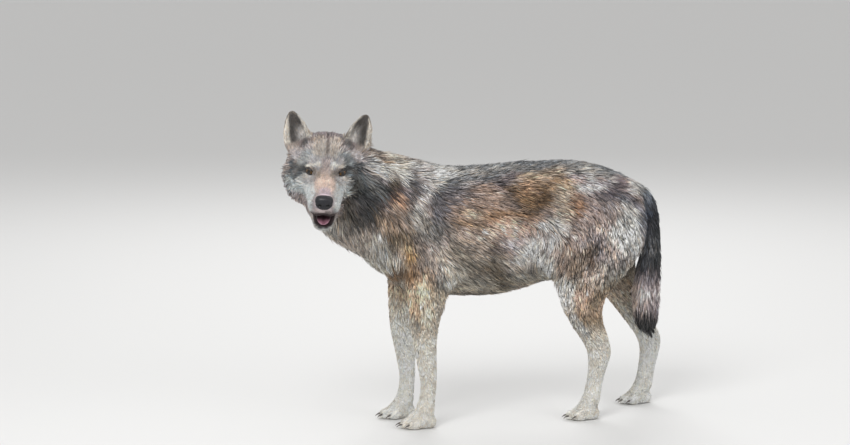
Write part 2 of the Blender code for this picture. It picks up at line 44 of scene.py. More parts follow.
CAMERA_TURN = math.radians(-15)
CAMERA_DOWN = math.radians(8)
LENS_MM = 105.88
FLOOR_HALF = 60.0

camera = bpy.data.objects.new("camera", bpy.data.cameras.new("camera"))
bpy.context.scene.collection.objects.link(camera)
look = Vector((
    -math.sin(CAMERA_TURN) * math.cos(CAMERA_DOWN),
    math.cos(CAMERA_TURN) * math.cos(CAMERA_DOWN),
    -math.sin(CAMERA_DOWN),
))
camera.location = CAMERA_AT
camera.rotation_euler = look.to_track_quat("-Z", "Y").to_euler()
camera.data.lens = LENS_MM
camera.data.sensor_width = 36.0
bpy.context.scene.camera = camera
bpy.context.scene.view_settings.view_transform = "Standard"

LIGHTS = (  # name, place, side, watts
    ("key", (-2.6, -3.4, 4.2), 2.6, 185),
    ("fill", (2.8, -3.6, 2.2), 3.0, 52),
    ("back", (1.0, 3.6, 3.6), 3.0, 84),
)
for name, at, side, watts in LIGHTS:
    lamp = bpy.data.lights.new(name, "AREA")
    lamp.size = side
    lamp.energy = watts
    light = bpy.data.objects.new(name, lamp)
    light.location = at
    light.rotation_euler = (Vector((0, 0, 0.45)) - Vector(at)).to_track_quat("-Z", "Y").to_euler()
    bpy.context.scene.collection.objects.link(light)
world = bpy.data.worlds.new("studio")
world.use_nodes = True
world.node_tree.nodes["Background"].inputs["Color"].default_value = (0.99, 0.985, 0.98, 1)
world.node_tree.nodes["Background"].inputs["Strength"].default_value = 0.74
bpy.context.scene.world = world


def mesh_piece(name, points, faces, smooth=True):
    """A mesh object from arrays: points is n by 3, faces is m by 3 or m by 4, all at once."""
    mesh = bpy.data.meshes.new(name)
    sides = faces.shape[1]
    mesh.vertices.add(len(points))
    mesh.vertices.foreach_set("co", np.ascontiguousarray(points, np.float32).ravel())
    mesh.loops.add(faces.size)
    mesh.loops.foreach_set("vertex_index", np.ascontiguousarray(faces, np.int32).ravel())
    mesh.polygons.add(len(faces))
    mesh.polygons.foreach_set("loop_start", np.arange(0, faces.size, sides, dtype=np.int32))
    mesh.polygons.foreach_set("use_smooth", np.full(len(faces), smooth))
    mesh.update(calc_edges=True)
    mesh.validate()
    piece = bpy.data.objects.new(name, mesh)
    bpy.context.scene.collection.objects.link(piece)
    return piece


def plain_material(name, colour, roughness):
    """A Principled material of one colour, to which a piece's own nodes are then added."""
    material = bpy.data.materials.new(name)
    material.use_nodes = True
    shader = material.node_tree.nodes["Principled BSDF"]
    shader.inputs["Base Color"].default_value = (*colour, 1)
    shader.inputs["Roughness"].default_value = roughness
    return material, material.node_tree.nodes, material.node_tree.links, shader


ends = np.array([[-1, -1, 0], [1, -1, 0], [1, 1, 0], [-1, 1, 0]]) * FLOOR_HALF
floor = mesh_piece("floor", ends, np.array([[0, 1, 2, 3]]))
material, *_ = plain_material("pale floor", (0.66, 0.66, 0.655), 0.7)
floor.data.materials.append(material)

# ================================================================ skin
# One hide over all the flesh: trunk, neck, head, jaw, ears, legs and tail are run together into
# one closed surface, which then sinks below the tips of the coat by the depth of the coat there.
FLESH = (
    "trunk", "neck", "head", "lower_jaw", "ear_left", "ear_right", "foreleg_left",
    "foreleg_right", "hindleg_left", "hindleg_right", "tail",
)
SWELL = 0.0011  # closes the partings between the members
SKIN_CELL = 0.0029
SKIN_FACES = 150000
MIDLINE = 0.0895  # Y of the middle of the trunk
# the head's own frame: +X to the nose, +Y to the wolf's left, +Z to the crown, from mid-eye
HEAD_AT = Vector((-0.4754, -0.0885, 0.728))
HEAD = (
    Matrix.Translation(HEAD_AT)
    @ Matrix.Rotation(math.radians(256), 4, "Z")
    @ Matrix.Rotation(math.radians(9), 4, "Y")
    @ Matrix.Rotation(math.radians(-3), 4, "X")
)
HEAD_TURN = np.array(HEAD.to_3x3())
HEAD_FROM = np.array(HEAD_AT)


def to_head(points):
    """Places in the head's own frame."""
    return (points - HEAD_FROM) @ HEAD_TURN


def from_head(points):
    """Places given in the head's own frame, in the wolf's."""
    return np.asarray(points, float) @ HEAD_TURN.T + HEAD_FROM


def triangles_of(mesh):
    """The points and triangles of a mesh, as arrays."""
    mesh.calc_loop_triangles()
    points = np.empty(len(mesh.vertices) * 3, np.float32)
    mesh.vertices.foreach_get("co", points)
    faces = np.empty(len(mesh.loop_triangles) * 3, np.int32)
    mesh.loop_triangles.foreach_get("vertices", faces)
    return points.reshape(-1, 3).astype(float), faces.reshape(-1, 3)


def made_unit(vectors, least=1e-9):
    """The vectors divided by their lengths, or by least where they are shorter than that."""
    return vectors / np.maximum(np.linalg.norm(vectors, axis=1, keepdims=True), least)


def normals_of(points, faces):
    """Normals at the points: the sum of the cross products of the faces round each, made unit."""
    a, b, c = (points[faces[:, k]] for k in range(3))
    across = np.cross(b - a, c - a)
    total = np.stack([
        sum(np.bincount(faces[:, k], across[:, axis], len(points)) for k in range(3))
        for axis in range(3)
    ], 1)
    return made_unit(total, 1e-12)


def edges_of(faces):
    """Each edge once, as pairs of point numbers."""
    pairs = np.sort(np.vstack([faces[:, [0, 1]], faces[:, [1, 2]], faces[:, [2, 0]]]), axis=1)
    keys = np.unique(pairs[:, 0].astype(np.int64) * (faces.max() + 1) + pairs[:, 1])
    return np.stack([keys // (faces.max() + 1), keys % (faces.max() + 1)], 1)


def softened(values, edges, rounds, share=0.5):
    """Each value moved towards the mean of its neighbours' by share, as many times as rounds."""
    values = values.copy()
    near = np.bincount(edges.ravel(), minlength=len(values)).astype(float)[:, None]
    share = np.broadcast_to(np.asarray(share, float).reshape(-1, 1), (len(values), 1))
    for _ in range(rounds):
        total = np.stack([
            np.bincount(edges[:, 0], values[edges[:, 1], k], len(values))
            + np.bincount(edges[:, 1], values[edges[:, 0], k], len(values))
            for k in range(values.shape[1])
        ], 1)
        values += (total / np.maximum(near, 1) - values) * share
    return values


def away_from(places, line):
    """How far each place is from the nearest spot on a line drawn through the given points."""
    line = np.array(line, float)
    away = np.full(len(places), 9.0)
    for a, b in zip(line[:-1], line[1:]):
        t = np.clip((places - a) @ (b - a) / max((b - a) @ (b - a), 1e-9), 0, 1)[:, None]
        away = np.minimum(away, np.linalg.norm(places - a - t * (b - a), axis=1))
    return away


SIDES = {"left": -1, "right": 1}  # the sign of Y on each side of the wolf
# the eyes: in the head's frame, how they sit, and the almond that the lids leave open
EYE_AT = np.array((-0.0005, 0.0395, 0.0))
EYE_RADIUS = 0.0126
LID_RADIUS = 0.0137
EYE_OUT = math.radians(32)  # how far the socket faces out to its own side
EYE_SLANT = math.radians(13)  # outer corner up
ALMOND = (0.0130, 0.0047, 0.0041)  # half width, height above and below the line of the corners
ahead = np.array((math.cos(EYE_OUT), math.sin(EYE_OUT), 0.04))
ahead /= np.linalg.norm(ahead)
level_out = np.array((-math.sin(EYE_OUT), math.cos(EYE_OUT), 0.0))
upward = np.cross(ahead, level_out)
EYE_AXES = np.stack([
    level_out * math.cos(EYE_SLANT) + upward * math.sin(EYE_SLANT),
    upward * math.cos(EYE_SLANT) - level_out * math.sin(EYE_SLANT),
    ahead,
])


def to_eye(points):
    """Places seen from the nearer eye: along its slit to the outer corner, up across it, and out."""
    own = to_head(points)
    own[:, 1] = np.abs(own[:, 1])
    return (own - EYE_AT) @ EYE_AXES.T


# the feet: X and Y of each paw, how far it turns out in degrees and its size; and the toes of a
# paw as reach, offset and half length
PAWS = {
    "foreleg_left": (-0.1864, 0.0175, -4, 1.0), "foreleg_right": (-0.2084, 0.1615, 4, 1.0),
    "hindleg_left": (0.2846, 0.0065, -3, 0.94), "hindleg_right": (0.4986, 0.1725, 3, 0.94),
}
TOES = (
    (0.024, -0.0235, 0.0185), (0.041, -0.0085, 0.0205),
    (0.041, 0.0085, 0.0205), (0.024, 0.0235, 0.0185),
)
TOE_SPREAD = 1.04  # the toes and claws stand this much wider than their offsets
TOE_HEIGHT = 0.0115


def level_turn(angle):
    """Rows that turn places about the upright axis by the angle."""
    return np.array((
        (math.cos(angle), math.sin(angle), 0),
        (-math.sin(angle), math.cos(angle), 0),
        (0, 0, 1),
    ))


def paw_frame(paw):
    """The turn and place of a paw: rows that take (ahead, aside, up) from the paw to the wolf."""
    x, y, splay, size = PAWS[paw]
    return level_turn(math.pi + math.radians(splay)) * size, (x, y, 0)


def ball(centre, radii, axes, at, rings=14, columns=20):
    """A sphere drawn out to three radii along three axes: rings by sine and cosine between poles."""
    a = np.linspace(0, math.pi, rings + 2)[1:-1, None]
    b = np.arange(columns) * 2 * math.pi / columns
    unit = np.stack([np.sin(a) * np.cos(b), np.sin(a) * np.sin(b), np.cos(a) + 0 * b], 2)
    unit = np.vstack([unit.reshape(-1, 3), (0, 0, 1), (0, 0, -1)])
    return (unit * radii + centre) @ axes + at, tube_faces(rings, columns, True, True)


def tube_faces(rings, columns, start, end):
    """Triangles over rings of points that each close on themselves, with a fan to one more point
    at the start and one at the end where these are closed."""
    r, c = np.meshgrid(np.arange(rings - 1), np.arange(columns), indexing="ij")
    a, b = r * columns + c, r * columns + (c + 1) % columns
    quads = np.stack([np.stack([a, b + columns, b], 2), np.stack([a, a + columns, b + columns], 2)])
    faces = [quads.reshape(-1, 3)]
    c = np.arange(columns)
    if start:
        faces.append(np.stack([np.full(columns, rings * columns), c, (c + 1) % columns], 1))
    if end:
        last = (rings - 1) * columns
        tip = np.full(columns, rings * columns + start)
        faces.append(np.stack([tip, last + (c + 1) % columns, last + c], 1))
    return np.vstack(faces)


def turned_out(points, faces):
    """The faces of a closed form, turned round where the volume that they enclose comes out below 0."""
    a, b, c = (points[faces[:, k]] for k in range(3))
    return faces[:, ::-1] if np.einsum("ni,ni->", a, np.cross(b, c)) < 0 else faces


gathered, count = [], 0
for name in FLESH:
    points, faces = triangles_of(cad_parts[name].data)
    _, first, index = np.unique(np.round(points, 5), axis=0, return_index=True, return_inverse=True)
    points, faces = points[first], index.reshape(-1)[faces]
    a, b, c = faces.T
    faces = faces[(a != b) & (b != c) & (c != a)]
    points = points + normals_of(points, faces) * SWELL
    gathered.append((points, faces + count))
    count += len(points)
# rounded beds under the eyelids, the nose and each toe
SOCKET_WALL = 0.0018
NOSE_BED = ((0.134, 0, -0.044), (0.014, 0.021, 0.015))
extra = [
    ball(EYE_AT * (1, side, 1), np.full(3, LID_RADIUS + SOCKET_WALL), HEAD_TURN.T, HEAD_FROM)
    for side in (1, -1)
]
extra.append(ball(*NOSE_BED, HEAD_TURN.T, HEAD_FROM))
for paw in PAWS:
    axes, at = paw_frame(paw)
    for reach, offset, half in TOES:
        middle = (reach, offset * TOE_SPREAD, TOE_HEIGHT + 0.003)
        extra.append(ball(middle, (half, 0.0096, 0.0150), axes, at))
for points, faces in extra:
    gathered.append((points, turned_out(points, faces) + count))
    count += len(points)
rough = mesh_piece("skin_rough", *(np.vstack(parts) for parts in zip(*gathered)))
melt = rough.modifiers.new("melt", "REMESH")
melt.mode = "VOXEL"
melt.voxel_size = SKIN_CELL
graph = bpy.context.evaluated_depsgraph_get()
fused = bpy.data.objects.new("skin_fused", bpy.data.meshes.new_from_object(rough.evaluated_get(graph)))
bpy.context.scene.collection.objects.link(fused)
bpy.data.objects.remove(rough)
points, _ = triangles_of(fused.data)
# all but the head and the feet, whose forms are finer, is thinned
on_head = to_head(points)
off_head = (on_head[:, 0] < -0.135) | (np.linalg.norm(on_head, axis=1) > 0.27)
body_part = np.where(off_head & (points[:, 2] > 0.06))[0]
fused.vertex_groups.new(name="body").add(body_part.tolist(), 1.0, "REPLACE")
thin = fused.modifiers.new("thin", "DECIMATE")
thin.ratio = SKIN_FACES / (2 * len(fused.data.polygons))
thin.vertex_group = "body"
thin.use_collapse_triangulate = True
graph = bpy.context.evaluated_depsgraph_get()
thinned = bpy.data.meshes.new_from_object(fused.evaluated_get(graph))
points, faces = triangles_of(thinned)
bpy.data.objects.remove(fused)

# How the coat lies and how deep it is, place by place: whose coat, the two ends of a line inside
# or on the member, how far it reaches, which way the hair runs, then in millimetres the depth of
# the coat, the length and width of a lock and the gap between locks. "mid" rows give Y outward
# from the middle of the trunk and hold on both sides, "head" rows are in the head's own frame
# and hold on both sides too, "row" rows stand for themselves.
COMB = [
    # trunk
    ("trunk", "mid", (-0.16, 0, 0.69), (0.1, 0, 0.7), 0.09, (1, 0, -0.06), 26, 46.4, 2.49, 3.87),
    ("trunk", "mid", (0.14, 0, 0.7), (0.38, 0, 0.67), 0.09, (1, 0, -0.15), 20, 41.3, 2.32, 3.87),
    ("trunk", "mid", (-0.1, 0.1, 0.61), (0.16, 0.1, 0.62), 0.07, (0.93, 0, -0.38), 23, 41.3, 2.49, 3.87),
    ("trunk", "mid", (-0.08, 0.11, 0.5), (0.08, 0.11, 0.51), 0.07, (0.86, 0, -0.52), 22, 41.3, 2.49, 3.96),
    ("trunk", "mid", (-0.1, 0.04, 0.37), (0.13, 0.04, 0.42), 0.06, (0.9, 0, -0.42), 22, 41.3, 2.49, 4.21),
    ("trunk", "mid", (-0.18, 0.1, 0.62), (-0.16, 0.12, 0.54), 0.06, (0.5, 0, -0.88), 21, 36.1, 2.32, 3.78),
    ("trunk", "mid", (0.22, 0.08, 0.67), (0.34, 0.08, 0.65),
     0.06, (0.78, 0.05, -0.62), 18, 36.1, 2.24, 3.78),
    ("trunk", "mid", (0.39, 0.05, 0.6), (0.39, 0.05, 0.52), 0.045, (0.3, 0.1, -0.95), 20, 37.8, 2.32, 3.78),
    ("trunk", "mid", (0.12, 0.1, 0.52), (0.14, 0.1, 0.46), 0.05, (-0.3, 0, -0.95), 15, 34.4, 2.24, 3.87),
    # neck and breast
    ("neck", "row", (-0.4, 0.02, 0.78), (-0.22, 0.082, 0.74),
     0.06, (0.93, 0.2, -0.3), 26, 54.3, 2.61, 4.19),
    ("neck", "row", (-0.232, -0.04, 0.64), (-0.35, -0.06, 0.68),
     0.07, (0.72, 0.05, -0.7), 30, 56.3, 2.79, 4.19),
    ("neck", "row", (-0.232, 0.205, 0.64), (-0.39, 0.15, 0.68),
     0.07, (0.7, 0.1, -0.7), 30, 56.3, 2.79, 4.19),
    ("neck", "row", (-0.3, -0.045, 0.54), (-0.39, -0.07, 0.59),
     0.06, (0.42, 0, -0.91), 30, 56.3, 2.79, 4.19),
    ("neck", "row", (-0.29, 0.18, 0.54), (-0.39, 0.12, 0.59),
     0.06, (0.42, 0.05, -0.91), 30, 56.3, 2.79, 4.19),
    ("neck", "row", (-0.33, 0.07, 0.48), (-0.4, 0.03, 0.56), 0.07, (0.22, 0, -0.97), 32, 58.2, 2.79, 4.28),
    ("neck", "row", (-0.27, 0.08, 0.43), (-0.25, 0.085, 0.39), 0.06, (0.5, 0, -0.87), 24, 50.4, 2.61, 4.28),
    # head
    ("head", "head", (0.13, 0, -0.022), (0.04, 0, 0.008), 0.022, (-1, 0, 0.15), 1.2, 10.5, 0.9, 1.76),
    ("head", "head", (0.005, 0, 0.028), (-0.04, 0.01, 0.066),
     0.03, (-0.82, 0.1, 0.55), 3.5, 15.2, 1.1, 2.14),
    ("head", "head", (-0.065, 0.01, 0.078), (-0.1, 0.012, 0.082), 0.04, (-1, 0.12, 0.05), 8, 23, 1.5, 2.8),
    ("neck", "head", (-0.14, 0.02, 0.066), (-0.19, 0.02, 0.02),
     0.05, (-0.9, 0.1, -0.3), 22, 44.6, 2.6, 4.1),
    ("head", "head", (0.128, 0.028, -0.052), (0.045, 0.043, -0.044),
     0.022, (-1, 0.12, -0.15), 1.4, 10.5, 0.9, 1.76),
    ("head", "head", (0.13, 0.02, -0.078), (0.04, 0.04, -0.068),
     0.012, (-0.9, 0.1, -0.4), 1, 9, 0.82, 1.76),
    ("head", "head", (0.03, 0.03, 0), (0.005, 0.05, -0.014), 0.014, (-0.9, 0.3, -0.1), 1.4, 9, 0.82, 1.67),
    ("head", "head", (0.016, 0.026, 0.02), (-0.012, 0.05, 0.024),
     0.014, (-0.8, 0.35, 0.45), 2.6, 12.3, 0.98, 1.86),
    ("head", "head", (-0.035, 0.068, 0.03), (-0.066, 0.08, 0.03),
     0.03, (-0.95, 0.25, 0.02), 6, 17.2, 1.4, 2.6),
    ("head", "head", (-0.015, 0.062, -0.036), (-0.045, 0.08, -0.04),
     0.03, (-0.93, 0.3, -0.25), 6, 19.5, 1.5, 2.7),
    ("head", "head", (-0.085, 0.108, -0.02), (-0.11, 0.118, -0.05),
     0.04, (-0.74, 0.5, -0.48), 17, 40, 2.5, 3.7),
    ("head", "head", (-0.07, 0.09, -0.085), (-0.11, 0.09, -0.1),
     0.04, (-0.62, 0.25, -0.75), 19, 42, 2.6, 3.9),
    ("head", "head", (0.092, 0, -0.138), (0, 0, -0.14), 0.022, (-1, 0.05, -0.12), 1.8, 12.3, 1.1, 2.14),
    ("head", "head", (0.08, 0.028, -0.118), (0, 0.046, -0.106),
     0.018, (-1, 0.12, -0.25), 1.8, 12.3, 0.98, 2.05),
    ("neck", "head", (-0.06, 0.02, -0.14), (-0.1, 0.02, -0.15),
     0.04, (-0.55, 0.05, -0.83), 18, 42.7, 2.6, 4.1),
    # ears, to just past their tips
    ("ears", "head", (-0.1, 0.074, 0.052), (-0.121, 0.1, 0.127),
     0.045, (-0.25, 0.32, 0.92), 0.8, 12, 1, 1.9),
    ("ears", "head", (-0.088, 0.06, 0.06), (-0.112, 0.084, 0.11),
     0.03, (-0.1, 0.62, 0.78), 1.6, 16, 1.1, 1.9),
]
# down the middle of each leg from inside the trunk, as X, Y out from the middle, Z, with the
# depth, length, width and gap of the coat there
FORELEG = (
    (-0.154, 0.088, 0.490, 15, 36, 2.70, 4.14), (-0.162, 0.094, 0.430, 12, 30, 2.34, 3.76),
    (-0.171, 0.090, 0.380, 9, 26, 1.98, 3.38), (-0.179, 0.086, 0.330, 6, 20, 1.9, 3.2),
    (-0.182, 0.082, 0.280, 4.5, 16, 1.7, 3.0), (-0.180, 0.078, 0.230, 3.6, 14, 1.6, 2.8),
    (-0.173, 0.075, 0.185, 2.8, 12, 1.5, 2.7), (-0.166, 0.072, 0.115, 2.4, 11, 1.4, 2.6),
    (-0.171, 0.072, 0.075, 2.2, 10, 1.4, 2.6), (-0.181, 0.072, 0.040, 2.0, 9, 1.3, 2.5),
)
FORE_STEP = -0.022  # how far the right forefoot stands ahead of the left
HINDLEG = {  # X and Z alone, as the two hind legs stand apart but are otherwise alike
    "left": (
        (0.354, 0.590), (0.342, 0.525), (0.318, 0.460), (0.286, 0.398), (0.268, 0.345), (0.270, 0.300),
        (0.294, 0.250), (0.321, 0.200), (0.321, 0.165), (0.310, 0.115), (0.302, 0.070), (0.291, 0.040),
    ),
    "right": (
        (0.364, 0.590), (0.372, 0.525), (0.382, 0.460), (0.402, 0.398), (0.430, 0.345), (0.459, 0.300),
        (0.495, 0.245), (0.529, 0.192), (0.532, 0.158), (0.523, 0.110), (0.516, 0.068), (0.505, 0.040),
    ),
}
HINDLEG_COAT = (  # Y out from the middle, depth, length, width and gap at the same stations
    (0.070, 16, 38, 2.70, 4.32), (0.080, 15, 36, 2.70, 4.32), (0.087, 14, 34, 2.61, 4.23),
    (0.090, 12, 30, 2.43, 3.95), (0.090, 9, 26, 2.07, 3.57), (0.089, 6.5, 22, 2.0, 3.4),
    (0.087, 4.5, 17, 1.8, 3.1), (0.085, 3.4, 14, 1.6, 2.8), (0.084, 2.8, 12, 1.5, 2.7),
    (0.083, 2.4, 11, 1.4, 2.6), (0.083, 2.2, 10, 1.4, 2.6), (0.083, 2.0, 9, 1.3, 2.5),
)
TAIL = (
    (0.430, 0.0, 0.650, 17, 42, 3.2, 4.4), (0.458, 0.0, 0.628, 17, 44, 3.2, 4.4),
    (0.486, 0.0, 0.585, 16, 46, 3.2, 4.2), (0.498, 0.0, 0.530, 13, 48, 3.2, 4.0),
    (0.501, 0.0, 0.470, 14, 50, 3.2, 3.9), (0.494, 0.0, 0.400, 18, 52, 3.2, 3.8),
    (0.486, 0.0, 0.335, 23, 52, 3.2, 3.8), (0.486, 0.0, 0.285, 22, 48, 3.0, 3.6),
    (0.492, 0.0, 0.245, 15, 40, 2.8, 3.4), (0.499, 0.0, 0.215, 7, 26, 2.4, 3.2),
)


def down_a_limb(piece, rows, sign, back):
    """COMB rows along a limb: the hair runs from each station to the next, leaning back a little."""
    for upper, lower in zip(rows[:-1], rows[1:]):
        a = (upper[0], MIDLINE + sign * upper[1], upper[2])
        b = (lower[0], MIDLINE + sign * lower[1], lower[2])
        run = np.subtract(b, a)
        run = run / np.linalg.norm(run) + (back, 0, 0)
        yield (piece, "row", a, b, 0.05 if upper[3] > 8 else 0.035, tuple(run), *upper[3:])


for side, sign in SIDES.items():
    fore = [
        (x + (FORE_STEP * min(1, (0.52 - z) / 0.30) if sign > 0 else 0), y, z, *rest)
        for x, y, z, *rest in FORELEG
    ]
    hind = [(x, y, z, *coat) for (x, z), (y, *coat) in zip(HINDLEG[side], HINDLEG_COAT)]
    COMB += down_a_limb("forelegs", fore, sign, 0.25)
    COMB += down_a_limb("hindlegs", hind, sign, 0.25)
    for x, y, *_ in (fore[-1], hind[-1]):
        toes = (x - 0.045, MIDLINE + sign * y, 0.014)
        heel = (x, MIDLINE + sign * y, 0.022)
        whose = "forelegs" if x < 0 else "hindlegs"
        COMB.append((whose, "row", heel, toes, 0.03, (-0.9, 0, -0.35), 1.8, 8, 1.3, 2.5))
COMB += down_a_limb("tail", TAIL, 0, 0.0)
PIECES = ("trunk", "neck", "head", "ears", "forelegs", "hindlegs", "tail")
EAR_OUTER_ROOT = np.array((-0.100, 0.110, 0.036))  # where the ear's outer edge leaves the head
EAR_EDGE = np.array((-0.020, -0.010, 0.046))  # which way and how far that edge then runs


def combed(points, close_from=EAR_OUTER_ROOT):
    """Reads COMB at each point: every row counts by the sixth power of its reach over the distance
    to its line. From close_from along EAR_EDGE the coat is kept shallow and short. Returns the lie
    as a unit vector, (depth, length, width, gap) in metres and the number in PIECES of the member
    that the point belongs to."""
    in_head = to_head(points)
    side = np.where(in_head[:, 1] < 0, -1.0, 1.0)[:, None]
    in_head[:, 1] = np.abs(in_head[:, 1])
    outward = np.where(points[:, 1] < MIDLINE, -1.0, 1.0)[:, None]
    mid = np.stack([points[:, 0], np.abs(points[:, 1] - MIDLINE), points[:, 2]], 1)
    lie = np.zeros_like(points)
    sizes = np.zeros((len(points), 4))
    whose = np.zeros((len(points), len(PIECES)))
    for piece, where, a, b, reach, run, *numbers in COMB:
        run = np.array(run, float)
        seen = {"head": in_head, "mid": mid, "row": points}[where]
        weight = (reach / (away_from(seen, (a, b)) + 0.004)) ** 6
        if where == "head":
            flow = (run * np.hstack([np.ones_like(side), side, np.ones_like(side)])) @ HEAD_TURN.T
        elif where == "mid":
            flow = run * np.hstack([np.ones_like(side), outward, np.ones_like(side)])
        else:
            flow = np.broadcast_to(run, points.shape)
        lie += flow / np.linalg.norm(run) * weight[:, None]
        sizes += np.array(numbers) / 1000 * weight[:, None]
        whose[:, PIECES.index(piece)] += weight
    sizes /= whose.sum(1)[:, None]
    # the blade of the ear is thin down to its outer root, and the coat lies close there
    t = np.clip((in_head - close_from) @ EAR_EDGE / (EAR_EDGE @ EAR_EDGE), 0, 1)[:, None]
    beyond = np.clip(np.linalg.norm(in_head - close_from - t * EAR_EDGE, axis=1) - 0.012, 0, None)
    most = np.stack([0.0035 + 0.50 * beyond, 0.0130 + 1.2 * beyond], 1)  # depth and length
    sizes[:, :2] = np.minimum(sizes[:, :2], most)
    return made_unit(lie), sizes, whose.argmax(1)


edges = edges_of(faces)
on_head = to_head(points)
fine = (on_head[:, 0] > -0.14) & (np.linalg.norm(on_head, axis=1) < 0.26)
foot = points[:, 2] < 0.07
ear = combed(points)[2] == PIECES.index("ears")
ease = np.where(ear, 0.12, np.where(fine, 0.35, np.where(foot, 0.4, 0.5)))
points = softened(points, edges, 6, ease)
points = softened(points, edges, 10, np.where(fine | foot, 0.0, 0.5))
_, coat_sizes, coat_piece = combed(points)

# Carving: folds and swellings of the head that the coat follows, in the head's own frame: a line
# of points, its radius and how far the skin rises, in millimetres.
CARVING = (
    (((0.018, 0.028, 0.017), (0.004, 0.043, 0.020), (-0.010, 0.052, 0.016)), 0.0065, 3.2),  # brow
    (((0.034, 0.026, 0.000), (0.022, 0.028, -0.002)), 0.0060, -2.2),  # inner corner of the eye
    (((0.006, 0.053, -0.018), (-0.012, 0.066, -0.020), (-0.040, 0.084, -0.018)), 0.0090, 2.6),  # cheekbone
    (((0.016, 0, 0.022), (-0.010, 0, 0.047), (-0.050, 0, 0.074)), 0.0050, -2.0),  # furrow of the forehead
    (((-0.010, 0.024, 0.050), (-0.045, 0.030, 0.070)), 0.0130, 1.6),  # forehead
    (((0.118, 0.019, -0.018), (0.060, 0.023, -0.001)), 0.0060, 1.1),  # edge of the bridge
    (((0.092, 0.036, -0.034), (0.045, 0.043, -0.030)), 0.0100, -2.4),  # hollow of the muzzle
    (((0.122, 0.031, -0.060), (0.104, 0.036, -0.062)), 0.0110, 2.2),  # pad of the whiskers
    (((-0.030, 0.070, 0.026), (-0.055, 0.080, 0.020)), 0.0140, -1.8),  # temple
    (((0.030, 0.046, -0.062), (0.000, 0.054, -0.058)), 0.0060, 1.6),  # fold of the lip
)
in_head = to_head(points)
in_head[:, 1] = np.abs(in_head[:, 1])
rise = np.zeros(len(points))
for line, radius, height in CARVING:
    rise += height / 1000 * np.exp(-((away_from(in_head, line) / radius) ** 2))
FURROWS = (-0.0165, 0.0, 0.0165)  # how far aside the furrows between the toes lie
FURROW_DEPTH = 0.0030
FURROW_WIDTH = 0.0026
FURROW_FROM = 0.022  # how far ahead in the paw they begin
for paw in PAWS:
    axes, at = paw_frame(paw)
    size = PAWS[paw][3]
    x, y, z = ((points - at) @ axes.T / size**2).T
    there = (x > FURROW_FROM) & (x < 0.075) & (np.abs(y) < 0.045) & (z < 0.05)
    for offset in FURROWS:
        aside = np.abs(y - offset * (1 + 4 * (x - 0.03)))
        groove = FURROW_DEPTH * np.exp(-((aside / FURROW_WIDTH) ** 2))
        rise -= groove * there * np.clip((x - FURROW_FROM) / 0.012, 0, 1)
points = points + normals_of(points, faces) * rise[:, None]
surface = points.copy()  # the tips of the coat

SINK_STEPS = 10
sink = softened(coat_sizes[:, :1], edges, 4)
for _ in range(SINK_STEPS):
    points = points - normals_of(points, faces) * sink / SINK_STEPS
    points = softened(points, edges, 2, np.clip(sink[:, 0] / 0.012, 0, 0.5))

